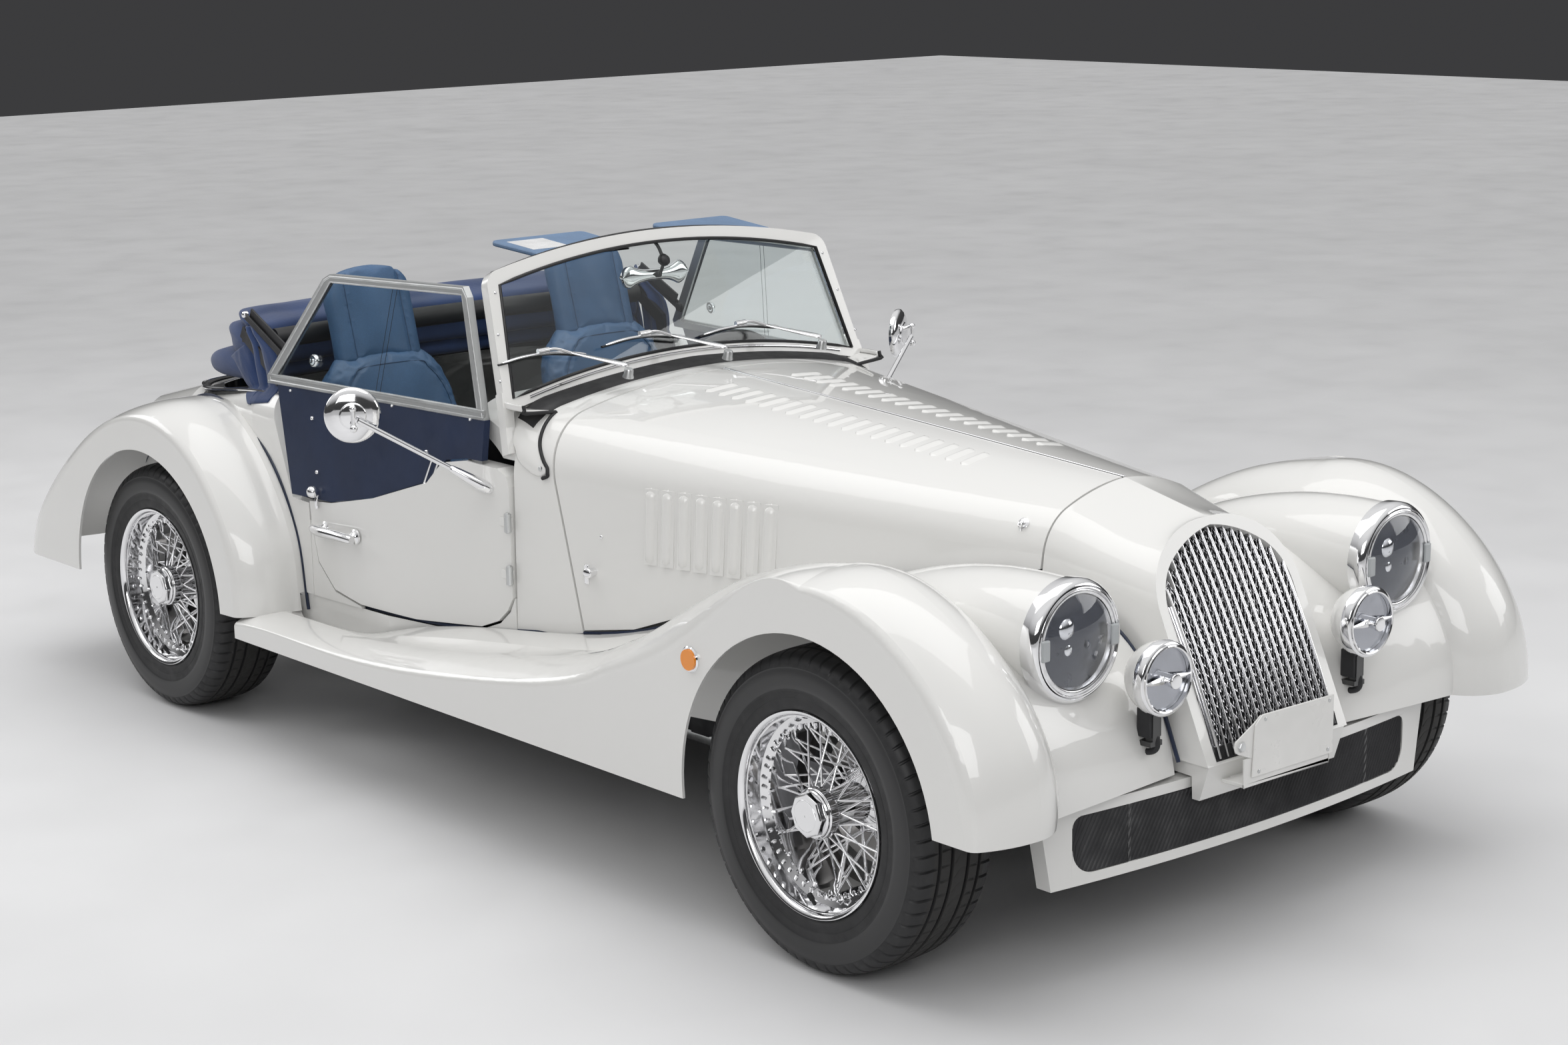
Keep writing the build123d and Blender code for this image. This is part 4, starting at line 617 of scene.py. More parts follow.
def tyre_shape():
    half = TREAD + [(x, r, 0) for x, r in WALL + INNER]
    loop = half + [(-x, r, d) for x, r, d in reversed(half[1:-1])]
    rows = []
    for pitch in range(PITCHES):
        for part, cut in CUT_STEPS:
            row = []
            for x, r, depth in loop:
                skew = CUT_SKEW * min(abs(x) / 0.1, 1.0) ** 2
                a = 2 * pi * (pitch + part + skew + (0.5 if x < 0 else 0)) / PITCHES
                deep = r - cut * depth
                inward = (x / abs(x) if x else 0) * cut * depth * 0.2
                row.append(Vector((x - inward, deep * cos(a), deep * sin(a))))
            rows.append(row)
    return grid(rows + [rows[0]], closed=True)


def tyre_rubber():
    """Greyer tread and wall bands, with fine ribs by the rim."""
    f = rubber("tyre_wall", (0.016, 0.016, 0.017), 0.55)
    flat = f.node("ShaderNodeVectorMath", {0: f.place, 1: (0, 1, 1)}, operation="MULTIPLY").outputs[0]
    reach = f.node("ShaderNodeVectorMath", {0: flat}, operation="LENGTH").outputs["Value"]

    def between(low, high):
        return f.math("MULTIPLY", f.math("LESS_THAN", reach, high), f.math("GREATER_THAN", reach, low))

    f.where(between(WALL_FROM, WALL_TO), (0.03, 0.03, 0.031), 0.42)
    f.where(f.math("GREATER_THAN", reach, WORN_FROM), (0.028, 0.027, 0.026), 0.75)
    ribs = f.math("SINE", f.math("MULTIPLY", reach, 2 * pi / RIB_PITCH))
    return f.bump(f.math("MULTIPLY", ribs, between(RIBS_FROM, RIBS_TO)), 0.35, 0.0005).material


TYRE = tyre_rubber()
WHEELS = {"front": (0.692, -1.36), "rear": (0.672, 1.16)}
# spoke rows: out from the wheel's middle plane, lead in degrees, spokes
SPOKE_ROWS = ((0.04, 30, 24), (0.06, 38, 24), (0.062, -38, 24))
NIPPLE_R = 0.17
NIPPLE = [(0, 0.0042), (0.005, 0.0042), (0.01, 0.003), (0.011, 0.001)]
CAP = [(0.06, 0.05), (0.078, 0.05), (0.08, 0.047), (0.084, 0.047), (0.087, 0.0445)]
EIGHT_SIDED_NUT = [(0.084, 0.0445), (0.098, 0.0435), (0.1005, 0.0405), (0.1018, 0.03), (0.102, 0.002)]
NUT_RING = [(0.1, 0.0315), (0.1018, 0.0315), (0.1018, 0.029), (0.1, 0.029)]
RIM_LIP = [(0.0885, 0.1965), (0.096, 0.201), (0.0985, 0.2), (0.0975, 0.1955), (0.0945, 0.1925),
           (0.09, 0.19), (0.078, 0.1885), (0.076, 0.1905), (0.0865, 0.193)]
VALVE = [(0, 0.004), (0.012, 0.004), (0.013, 0.0055), (0.026, 0.0055), (0.028, 0.003)]
VALVE_OUT, VALVE_R = 0.08, 0.178

for axle, (x, y) in WHEELS.items():
    for side, sign in SIDES:
        wheel = f"{axle}_{side}"
        body = "wheel_" + wheel
        centre, out = Vector((sign * x, y, TYRE_R)), Vector((sign, 0, 0))
        piece("tread_" + wheel, tyre_shape(), TYRE, body, "tyre_rubber", ["tyre_" + wheel], angle=28,
              at=centre)
        nipples = []
        for reach, lead, count in SPOKE_ROWS:
            hub = centre + out * reach
            for k in range(count):
                a = 2 * pi * k / count + radians(lead) * 0.5
                spot = hub + Vector((0, cos(a), sin(a))) * NIPPLE_R
                nipples.append(turned(NIPPLE, spot, hub - spot, 8))
        bright("nipples_" + wheel, join(*nipples), body)
        spinner = join(turned(CAP, centre, out, 48), turned(EIGHT_SIDED_NUT, centre, out, 8),
                       ring(NUT_RING, centre, out, 48))
        bright("spinner_" + wheel, spinner, body, bevel=0.0015, angle=25)
        bright("rim_lip_" + wheel, ring(RIM_LIP, centre, out, 96), body, angle=60)
        stem = turned(VALVE, centre + out * VALVE_OUT - Z * VALVE_R, out * 0.6 + Z, 12)
        piece("valve_" + wheel, stem, RUBBER, body, "tyre_rubber")

# ------------------------------ grille
GRILLE_AT = Vector((0, -1.835, 0.387))
LEAN = radians(24.07)
GRILLE_UP = Vector((0, sin(LEAN), cos(LEAN)))
GRILLE_OUT = Vector((0, -cos(LEAN), sin(LEAN)))
GRILLE_HALF = 0.1812
SHOULDER, ARCH = 0.29, 0.1545
FIN_PITCH, FIN_FOOT = 0.0212, 0.01
FIN_STEPS = 26
FIN = [(-0.0024, -0.026), (-0.0024, -0.003), (-0.0016, -0.0006), (0, 0.0), (0.0016, -0.0006),
       (0.0024, -0.003), (0.0024, -0.026)]
EDGE_FIN = [(-0.002, -0.028), (-0.002, -0.008), (0, -0.006), (0.002, -0.008), (0.002, -0.028)]
WIRE_STEP, WIRE_R, WIRE_FOOT = 0.0125, 0.0008, 0.012
WIRE_DEPTH, WIRE_WAVE = -0.013, 0.0011
WIRE_TOP = 0.446
SLANT = 0.62


def grille_top(x):
    """Height of the opening above the foot, along the grille."""
    return SHOULDER + ARCH * sqrt(max(0.0, 1 - (x / GRILLE_HALF) ** 2))


def on_grille(x, up, out):
    bulge = 0.017 * (1 - ((up - 0.16) / 0.27) ** 2) - 0.006
    return GRILLE_AT + X * x + GRILLE_UP * up + GRILLE_OUT * (bulge + out)


def fin(x, section, height):
    rows = [[on_grille(x + dx, FIN_FOOT + height * s / FIN_STEPS, out) for dx, out in section]
            for s in range(FIN_STEPS + 1)]
    return grid(rows, closed=True, capped=True)


fins = [fin(k * FIN_PITCH, FIN, grille_top(k * FIN_PITCH) - 0.001 - FIN_FOOT) for k in range(-8, 9)]
fins += [fin(sign * (GRILLE_HALF - 0.0035), EDGE_FIN, 0.3) for sign in (-1, 1)]
bright("grille_fins", join(*fins), replaces=["grille"], angle=50)

wires = []
for family in (-1, 1):
    start = -GRILLE_HALF - 0.44 * SLANT
    while start < GRILLE_HALF + 0.44 * SLANT:
        line = []
        up = WIRE_FOOT
        while up < WIRE_TOP:
            x = start + family * (up - WIRE_FOOT) * SLANT + (0 if family > 0 else WIRE_STEP / 2)
            if abs(x) < GRILLE_HALF - 0.001 and up < grille_top(x) - 0.002:
                wave = WIRE_WAVE * cos(pi * 2 * SLANT * (up - WIRE_FOOT) / WIRE_STEP) * family
                line.append(on_grille(x, up, WIRE_DEPTH + wave))
            up += WIRE_STEP / (4 * SLANT)
        if len(line) > 2:
            wires.append(tube(line, WIRE_R, 4))
        start += WIRE_STEP
piece("grille_mesh", join(*wires), chrome("mesh_chrome", 0.14, (0.7, 0.7, 0.71)).material, slot="bright_trim")

opening = [(GRILLE_HALF - 0.001, 0.004), (GRILLE_HALF, SHOULDER)]
opening += [(GRILLE_HALF * cos(pi * k / 24), SHOULDER + ARCH * sin(pi * k / 24)) for k in range(1, 24)]
opening += [(-GRILLE_HALF, SHOULDER), (0.001 - GRILLE_HALF, 0.004)]
back = [GRILLE_AT + X * x + GRILLE_UP * up + GRILLE_OUT * -0.034 for x, up in opening]
piece("grille_backing", slab(back, GRILLE_OUT * -0.003), MESH_BLACK, slot="black_mesh")
foot = [on_grille(x, up, -0.004)
        for x, up in ((-0.179, 0.006), (0.179, 0.006), (0.179, 0.034), (-0.179, 0.034))]
GLOSS_BLACK = plastic("gloss_black", (0.01, 0.01, 0.011), 0.12).material
piece("grille_foot", slab(foot, GRILLE_OUT * -0.02), GLOSS_BLACK, slot="black_mesh", bevel=0.001)

# ------------------------------ lamps
FORWARD = Vector((0, -1, 0))
HEADLAMP, SPOT_LAMP = (0.467, -1.735, 0.663), (0.3, -1.812, 0.574)
FRONT_SIGNAL, REAR_LAMP = (0.8195, -1.063, 0.565), (0.45, 1.858, 0.45)
# profiles as (forward, radius)
OUTER_RIM = [(-0.022, 0.104), (-0.022, 0.1165), (-0.006, 0.1172), (0.004, 0.1165), (0.01, 0.113),
             (0.0145, 0.109), (0.0155, 0.106), (0.0135, 0.104), (0.0, 0.103)]
RIM_EDGE = [(0.01, 0.103), (0.016, 0.103), (0.017, 0.101), (0.0155, 0.0995), (0.01, 0.0995)]
INNER_RIM = [(0.002, 0.1025), (0.0125, 0.1005), (0.016, 0.095), (0.0135, 0.0895), (0.006, 0.085),
             (-0.004, 0.0825), (-0.004, 0.085)]
BOWL = [(0.004, 0.086), (-0.004, 0.083), (-0.01, 0.076), (-0.0125, 0.065), (-0.013, 0.004)]
BEAM_RING = [(-0.012, 0.03), (-0.004, 0.0285), (-0.003, 0.024), (-0.002, 0.0235)]
BEAM_LENS = [(-0.003, 0.0225), (0.004, 0.02), (0.009, 0.014), (0.011, 0.004)]
SIDE_LIGHT = [(-0.012, 0.011), (0.004, 0.01), (0.006, 0.006)]
SMALL_LIGHT = [(-0.012, 0.0035), (-0.006, 0.003)]
SMALL_LIGHTS, SMALL_LIGHTS_R = 7, 0.06
SPOT_RIM = [(-0.018, 0.069), (-0.018, 0.0715), (-0.01, 0.0725), (-0.008, 0.0715), (0.001, 0.0715),
            (0.003, 0.07), (0.0045, 0.066), (0.0075, 0.065), (0.0085, 0.0625), (0.007, 0.06),
            (0.0, 0.0595), (-0.004, 0.06)]
SPOT_BOWL = [(-0.0035, 0.0605), (-0.006, 0.054), (-0.008, 0.04), (-0.0095, 0.022), (-0.01, 0.004)]
# along the bar, half height, depth
SPOT_BAR = ((0.0, 0.0085, 0.004), (0.3, 0.0075, 0.004), (0.7, 0.0045, 0.003), (1.0, 0.0025, 0.002))
SPOT_BOSS = [(-0.006, 0.012), (0.016, 0.012), (0.018, 0.0145), (0.024, 0.015), (0.0265, 0.014),
             (0.0275, 0.01), (0.0275, 0.002)]
SPOT_HOSE = [(0.004, 0.03, -0.112), (0.004, 0.024, -0.13), (0.002, 0.03, -0.144), (0.0, 0.052, -0.15),
             (0.0, 0.075, -0.148)]
FRONT_BEZEL = [(0.0, 0.0195), (0.0, 0.026), (0.004, 0.0262), (0.0065, 0.0235), (0.0065, 0.02)]
REAR_BEZEL = [(0.0, 0.031), (0.0, 0.0385), (0.006, 0.0385), (0.01, 0.035), (0.01, 0.0318)]


def mirrored_at(place, sign):
    x, y, z = place
    return Vector((sign * x, y, z))


rims, inner_rims, bowls, beams, tabs = [], [], [], [], []
for sign in (-1, 1):
    at = mirrored_at(HEADLAMP, sign)
    rims += [ring(OUTER_RIM, at, FORWARD, 96), ring(RIM_EDGE, at, FORWARD, 96)]
    inner_rims.append(ring(INNER_RIM, at, FORWARD, 96))
    bowls.append(turned(BOWL, at, FORWARD, 64))
    main = at + Vector((-0.022, 0, 0.026))
    beams += [turned(BEAM_RING, main, FORWARD, 40), turned(BEAM_LENS, main, FORWARD, 32)]
    beams.append(turned(SIDE_LIGHT, main + Vector((0.004, 0, -0.04)), FORWARD, 20))
    for k in range(SMALL_LIGHTS):
        a = pi * (1.15 + 0.1 * k)
        beams.append(turned(SMALL_LIGHT, at + Vector((cos(a), 0, sin(a))) * SMALL_LIGHTS_R, FORWARD, 8))
    for x in (-0.0905, 0.0905):
        tabs.append(brick(at + Vector((x - 0.01, -0.022, -0.02)), at + Vector((x + 0.01, -0.0135, 0.02))))
bright("headlamp_rims", join(*rims), replaces=["headlamps"], angle=40)
piece("headlamp_inner_rims", join(*inner_rims), brushed("satin_ring", (0.8, 0.8, 0.81), 0.2).material,
      slot="bright_trim", angle=60)
piece("headlamp_bowls", join(*bowls), chrome("lamp_bowl", 0.16, (0.1, 0.105, 0.12)).material,
      slot="bright_trim", angle=60)
bright("headlamp_beams", join(*beams), angle=50)
piece("headlamp_tabs", join(*tabs), plastic("clear_tab", (0.42, 0.44, 0.45), 0.2, coat_weight=0.5).material,
      slot="clear_glass", bevel=0.003)

rims, bowls, bars, brackets = [], [], [], []
for sign in (-1, 1):
    at = mirrored_at(SPOT_LAMP, sign)
    rims.append(ring(SPOT_RIM, at, FORWARD, 80))
    bowls.append(turned(SPOT_BOWL, at, FORWARD, 48))
    for hand in (-1, 1):
        rows = []
        for s, wide, deep in SPOT_BAR:
            x = hand * (0.01 + s * 0.05)
            rows.append([at + Vector((x, -0.004 - dy, dz))
                         for dy, dz in ((0, -wide), (deep, 0), (0, wide), (-0.002, 0))])
        bars.append(grid(rows, closed=True, capped=True))
    bars.append(turned(SPOT_BOSS, at, FORWARD, 32))
    brackets.append(brick(at + Vector((-0.016, 0.024, -0.118)), at + Vector((0.016, 0.058, -0.062))))
    brackets.append(tube(spline([at + Vector(p) for p in SPOT_HOSE], 6), 0.0065, 10))
bright("spot_rims", join(*rims), angle=40)
piece("spot_bowls", join(*bowls), chrome("spot_bowl", 0.12, (0.42, 0.43, 0.46)).material,
      slot="bright_trim", angle=60)
bright("spot_bars", join(*bars), bevel=0.0006)
piece("spot_brackets", join(*brackets), MESH_BLACK, slot="black_frame", bevel=0.002)

bezels = []
for sign in (-1, 1):
    bezels.append(ring(FRONT_BEZEL, mirrored_at(FRONT_SIGNAL, sign), (sign, 0, 0), 48))
    bezels.append(ring(REAR_BEZEL, mirrored_at(REAR_LAMP, sign), (0, 1, 0), 48))
bright("signal_bezels", join(*bezels), angle=40)

# ------------------------------ wipers and washers
# each foot's x and how far it stands above the outer ones
WIPERS = ((-0.289, 0.0), (0.0, 0.008), (0.289, 0.0))
WIPER_Y, WIPER_Z = -0.196, 0.95
WIPER_FOOT = [(0.0, 0.013), (0.003, 0.0126), (0.006, 0.0112), (0.018, 0.0105), (0.021, 0.0085)]
# share of the arm's length, half width, height
WIPER_ARM = ((0.0, 0.007, 0.01), (0.04, 0.012, 0.013), (0.14, 0.0135, 0.014), (0.35, 0.012, 0.011),
             (0.7, 0.0085, 0.008), (1.0, 0.006, 0.0065))
ARM_CROWN, ARM_BELLY = 0.55, 0.25
BOW_RADII = [0.0018] + [0.0042] * 19 + [0.0018]


def raised(p, z):
    return p + Vector((0, 0, z))


arms, rods, blades, feet = [], [], [], []
for x, lift in WIPERS:
    foot = Vector((x, WIPER_Y, WIPER_Z + lift))
    feet.append(turned(WIPER_FOOT, foot, (0, -0.25, 1), 32))
    root = foot + Vector((0.004, 0.004, 0.024))
    bend = foot + Vector((-0.06, 0.14, 0.048))
    tip = foot + Vector((-0.122, 0.15, 0.058))
    along = (bend - root).normalized()
    side = along.cross(Z).normalized()
    up = side.cross(along)
    rows = []
    for s, wide, tall in WIPER_ARM:
        c = root.lerp(bend, s)
        row = []
        for a in round_angles(12):
            height = tall * ((ARM_CROWN if sin(a) > 0 else ARM_BELLY) * sin(a))
            row.append(c + side * wide * cos(a) + up * height)
        rows.append(row)
    arms.append(grid(rows, closed=True, capped=True))
    rod = [bend - (bend - root) * 0.05, raised(bend.lerp(tip, 0.5), 0.006), tip]
    rods.append(tube(spline(rod, 6), 0.0036, 8))
    # the bow that carries the blade, across the arm's tip
    left = tip + Vector((0.115, -0.004, -0.02))
    mid = tip + Vector((0.0, 0.004, -0.007))
    end = tip + Vector((-0.11, 0.006, -0.016))
    bow = [left, raised(left.lerp(mid, 0.5), 0.003), mid, raised(end.lerp(mid, 0.5), 0.003), end]
    rods.append(tube(spline(bow, 5), BOW_RADII, 8, flat=0.7))
    rods.append(tube([tip + Vector((0.014, 0, 0.001)), tip + Vector((-0.016, 0, 0.000))], 0.0062, 10))
    blade = [left + Vector((0.004, 0.007, -0.005)), mid + Vector((0, 0.009, -0.004)),
             end + Vector((-0.006, 0.007, -0.005))]
    blades.append(tube(spline(blade, 8), 0.0042, 6, flat=0.6))
bright("wiper_arms", join(*arms), replaces=["wipers"], levels=1, angle=60)
bright("wiper_rods", join(*rods), angle=50)
piece("wiper_blades", join(*blades), RUBBER, slot="black_mesh")
piece("wiper_feet", join(*feet), SATIN, slot="bright_trim", angle=40)

WASHER_JET = [(-0.002, 0.009), (0.002, 0.009), (0.007, 0.0075), (0.01, 0.004)]
JET_X, JET_Y, JET_Z = 0.153, -0.232, 0.945
jets = []
for side, sign in reversed(SIDES):
    above_jet = (sign * JET_X, JET_Y, 1.2)
    hit = skin_at("scuttle", above_jet, -Z)[0] or skin_at("bonnet_" + side, above_jet, -Z)[0]
    jets.append(turned(WASHER_JET, hit or (sign * JET_X, JET_Y, JET_Z), Z, 20))
piece("washer_jets", join(*jets), RUBBER, slot="black_mesh", angle=50)

# ------------------------------ rear-view mirror
MIRROR_AT = Vector((0.0, 0.074, 1.13))
MIRROR_HALF = 0.098
WAIST, LOBE = 0.0135, 0.0285
LOBE_FROM = 0.72
BALL = [(-0.003, 0.01), (0.004, 0.0145), (0.012, 0.0155), (0.018, 0.012), (0.021, 0.004)]


def mirror_height(t):
    """Half height along the shell: narrow in the middle, with a rounded lobe at each end."""
    if t > LOBE_FROM:
        return LOBE * sqrt(max(0.02, 1 - ((t - LOBE_FROM) / (1 - LOBE_FROM)) ** 2))
    return WAIST + (LOBE - WAIST) * min(1.0, t / LOBE_FROM) ** 3


tower = []
for s in range(33):
    t = s / 16 - 1
    tall = mirror_height(abs(t))
    row = []
    for a in round_angles(24):
        deep = cos(a) * (1 if cos(a) < 0 else 0.5)
        row.append(MIRROR_AT + Vector((t * MIRROR_HALF, deep * 0.011 - 0.002 * (1 - abs(t)), sin(a) * tall)))
    tower.append(row)
bright("mirror_shell", grid(tower, closed=True, capped=True),
       replaces=["rear_view_mirror"], angle=60)
stalk = [(0.006, -0.018, 0.002), (0.014, -0.02, 0.03), (0.01, -0.01, 0.062), (0, 0.0, 0.082)]
knob = join(turned([(0, 0.007), (0.016, 0.007), (0.019, 0.004)], MIRROR_AT - Y * 0.006, (0.1, -1, 0.1), 20),
            tube(spline([MIRROR_AT + Vector(p) for p in stalk], 6), 0.0042, 10),
            turned(BALL, MIRROR_AT + Vector((0.012, -0.018, 0.028)), (0.3, -0.6, 0.8), 24))
piece("mirror_knob", knob, BLACK_PAINT, slot="black_mesh", angle=50)

# ------------------------------ windscreen seals
LEAN_BACK = radians(20.1)
SCREEN_UP = Vector((0, sin(LEAN_BACK), cos(LEAN_BACK)))
SCREEN_OUT = Vector((0, -cos(LEAN_BACK), sin(LEAN_BACK)))


SCREEN_AT = Vector((0, -0.062, 0.91))
# half width and height of an arch's ends, height of its middle
LOWER_EDGE = ((0.508, 0.003), 0.0635)
UPPER_EDGE = ((0.472, 0.262), 0.3205)
HEADER = ((0.476, 0.292), 0.3515)
STRIP_HALF, STRIP_Y = 0.505, -0.1
STRIP = ((-0.028, -0.004), (-0.024, 0.004), (0.0, 0.009), (0.034, 0.012), (0.034, -0.004))
SCREEN_SCREWS = ((0.548, 0.045), (0.524, 0.15), (0.505, 0.245))


def on_screen(x, up, out=0.0):
    """A point on the windscreen's plane, or out from it."""
    return SCREEN_AT + X * x + SCREEN_UP * up + SCREEN_OUT * out


def arc(ends, top, steps=24):
    """Points (x, height) of the arch between two ends with a given middle."""
    half, low = ends
    shares = [k / steps for k in range(steps + 1)]
    return [(-half + 2 * half * s, low + (top - low) * (1 - (2 * s - 1) ** 2)) for s in shares]


lower, upper = arc(*LOWER_EDGE), arc(*UPPER_EDGE)
seal = [on_screen(x, up, -0.001) for x, up in lower + upper[::-1]]
piece("screen_gasket", tube(seal, 0.0042, 8, closed=True), GASKET, slot="black_mesh")
header = [on_screen(x, up, -0.014) for x, up in arc(*HEADER)]
piece("header_seal", tube(header, 0.0052, 8), GASKET, slot="black_mesh")
bright_line = [on_screen(x, up - 0.012, 0.001) for x, up in lower[1:-1]]
bright("screen_bright_line", tube(bright_line, 0.0032, 8))
strip = []
for k in range(41):
    hit, _ = skin_at("scuttle", (-STRIP_HALF + 2 * STRIP_HALF * k / 40, STRIP_Y, 1.3), -Z)
    if hit is not None:
        strip.append([hit + Vector((0, dy, dz)) for dy, dz in STRIP])
piece("scuttle_rubber", grid(strip, closed=True, capped=True), RUBBER, slot="black_mesh", angle=60)
screws = []
for sign in (-1, 1):
    for x, up in SCREEN_SCREWS:
        spot = on_screen(sign * (x - 0.03), up) + X * sign * 0.014
        screws.append(turned([(-0.002, 0.0035), (0.0008, 0.0035), (0.0016, 0.002)], spot, SCREEN_OUT, 12))
bright("screen_screws", join(*screws))

# ------------------------------ piping between the wings and the body
FRONT_SEAM = [(0.226, -1.78, 0.391), (0.226, -1.723, 0.513), (0.232, -1.634, 0.618), (0.25, -1.51, 0.672),
              (0.276, -1.38, 0.692), (0.314, -1.2, 0.668), (0.348, -1.04, 0.634), (0.383, -0.88, 0.594),
              (0.413, -0.74, 0.54), (0.443, -0.6, 0.49), (0.482, -0.42, 0.436), (0.529, -0.2, 0.406),
              (0.6, 0.1, 0.378), (0.646, 0.69, 0.36)]
REAR_SEAM = [(0.65, 0.632, 0.329), (0.65, 0.669, 0.525), (0.65, 0.797, 0.703), (0.632, 1.04, 0.797),
             (0.61, 1.245, 0.76), (0.57, 1.446, 0.669), (0.545, 1.61, 0.549), (0.505, 1.765, 0.425),
             (0.48, 1.84, 0.312)]
PIPING_R = 0.0042
for name, seam in (("piping_front", FRONT_SEAM), ("piping_rear", REAR_SEAM)):
    piece(name, twice(tube(spline(seam, 8), PIPING_R, 8)), NAVY_PIPING, slot="hood_cloth")

# ------------------------------ bonnet details
TOP_LOUVRES, TOP_LOUVRE_PITCH, TOP_LOUVRE_Y = 19, 0.044, -1.12
# across the louvre, height over the skin
TOP_LOUVRE = ((-0.013, 0.0), (-0.009, 0.001), (-0.003, 0.0026), (0.003, 0.004), (0.007, 0.0042),
              (0.0095, 0.003), (0.0105, 0.0))
LATCH_Y, LATCH_Z = -1.37, 0.786
CATCH_Y, CATCH_Z = -0.33, 0.56
CATCH = [(-0.004, 0.01), (0.006, 0.009), (0.016, 0.012), (0.024, 0.012), (0.027, 0.008)]
CATCH_SCREW_Y, CATCH_SCREW_Z = -0.352, 0.64


def pressed(share, plain, drop):
    """Height of a pressed louvre along it: full, then falling off over its rounded ends."""
    return sqrt(max(0.0, 1 - max(0.0, abs(2 * share - 1) - plain) ** 2 / drop))


for side, sign in SIDES:
    body = "bonnet_" + side
    beads = []
    for k in range(TOP_LOUVRES):
        y = TOP_LOUVRE_Y + TOP_LOUVRE_PITCH * k
        inner, outer = 0.07 + 0.012 * (y - TOP_LOUVRE_Y), 0.15 + 0.03 * (y - TOP_LOUVRE_Y)
        rows = []
        for j in range(13):
            x = sign * (inner + (outer - inner) * (j / 12))
            full = pressed(j / 12, 0.75, 0.0626)
            row = []
            for reach, tall in TOP_LOUVRE:
                hit, normal = skin_at(body, (x, y + reach * full, 1.2), -Z)
                if hit is not None:
                    row.append(hit + normal * (tall * full - 0.0004))
            if len(row) == len(TOP_LOUVRE):
                rows.append(row)
        if len(rows) > 1:
            beads.append(grid(rows))
    piece("top_louvres_" + side, join(*beads), PAINT, body, "body_paint", angle=60)

    hit, normal = skin_at(body, (sign, LATCH_Y, LATCH_Z), (-sign, 0, 0))
    down = Vector((normal.x * -0.3, 0.2, -1)).normalized()
    grip = hit + normal * 0.012 + down * 0.034
    lever = spline([hit + normal * 0.004, hit + normal * 0.014 + down * 0.01, grip], 5)
    latch = join(turned([(-0.004, 0.013), (0.003, 0.012), (0.005, 0.008)], hit, normal, 24),
                 tube(lever, [0.006] * 6 + [0.0045] * 5, 10),
                 tube([grip - Y * 0.02, grip + Y * 0.02], 0.0045, 10))
    bright("bonnet_latch_" + side, latch, body, angle=50)

    hit, normal = skin_at(body, (sign, CATCH_Y, CATCH_Z), (-sign, 0, 0))
    catch = [turned(CATCH, hit, normal, 20),
             brick(hit + Vector((-0.008, 0.012, -0.03)), hit + Vector((0.01, 0.026, 0.014)))]
    hit, normal = skin_at(body, (sign, CATCH_SCREW_Y, CATCH_SCREW_Z), (-sign, 0, 0))
    catch.append(turned([(-0.002, 0.0045), (0.002, 0.0045), (0.003, 0.003)], hit, normal, 12))
    bright("bonnet_catch_" + side, join(*catch), body, angle=50, bevel=0.0015)

# ------------------------------ seats
SEAT_X = 0.335
SEAT_LEAN = radians(16)
BACK_AT = Vector((SEAT_X, 0.58, 0.474))
BACK_UP = Vector((0, sin(SEAT_LEAN), cos(SEAT_LEAN)))
BACK_OUT = Vector((0, -cos(SEAT_LEAN), sin(SEAT_LEAN)))
BASE_Y, BASE_Z = 0.128, 0.372
BACK_TOP, BACK_HALF, BACK_ROUND = 0.502, 0.198, 0.28
BACK_SEAM_INSET = 0.046
HEAD_SEAM_X, BASE_SEAM_X = 0.078, 0.135
SEAM_HALF = 0.0055
BACK_LEVELS = (0.002, 0.01, 0.03, 0.08, 0.14, 0.2, 0.26, 0.31, 0.35, 0.385, 0.415, 0.44, 0.46, 0.476, 0.488,
               0.496, 0.5)
HEAD_LEVELS = (0.436, 0.44, 0.452, 0.475, 0.51, 0.55, 0.59, 0.62, 0.645, 0.662, 0.674, 0.681, 0.684)
BASE_LEVELS = (0.0, 0.006, 0.02, 0.05, 0.12, 0.22, 0.34, 0.44, 0.49, 0.508, 0.512)
# the cloth simulation that swells the seats
CLOTH_FRAMES, PUFF = 20, 4
STIFFNESS, BENDING = 20, 0.4
SEAM_R, SEAM_LIFT = 0.0012, 0.0004


def in_back(u, v, w):
    """A point of the seat's back: across, up along it and out from it."""
    return BACK_AT + X * u + BACK_UP * v + BACK_OUT * w


def from_back(p):
    d = Vector(p) - BACK_AT
    return d.x, d.dot(BACK_UP), d.dot(BACK_OUT)


def in_base(u, v, w):
    """A point of the seat's base: across, back along it and up."""
    return Vector((SEAT_X + u, BASE_Y + v, BASE_Z + w))


def rounded(c, power):
    return (abs(c) ** power) * (1 if c >= 0 else -1)


def cushion_form(to_place, rows, flat=0.42):
    """Closed form from rows of (along, half width, middle depth, half depth)."""
    loops = []
    for v, wide, middle, deep in rows:
        loops.append([to_place(wide * rounded(cos(a), flat), v, middle + deep * rounded(sin(a), 0.7))
                      for a in round_angles(44)])
    return grid(loops, closed=True, capped=True)


def evaluated(thing):
    """The object's mesh with its modifiers; the object itself is removed."""
    mesh = bpy.data.meshes.new_from_object(thing.evaluated_get(bpy.context.evaluated_depsgraph_get()))
    bpy.data.objects.remove(thing)
    return mesh


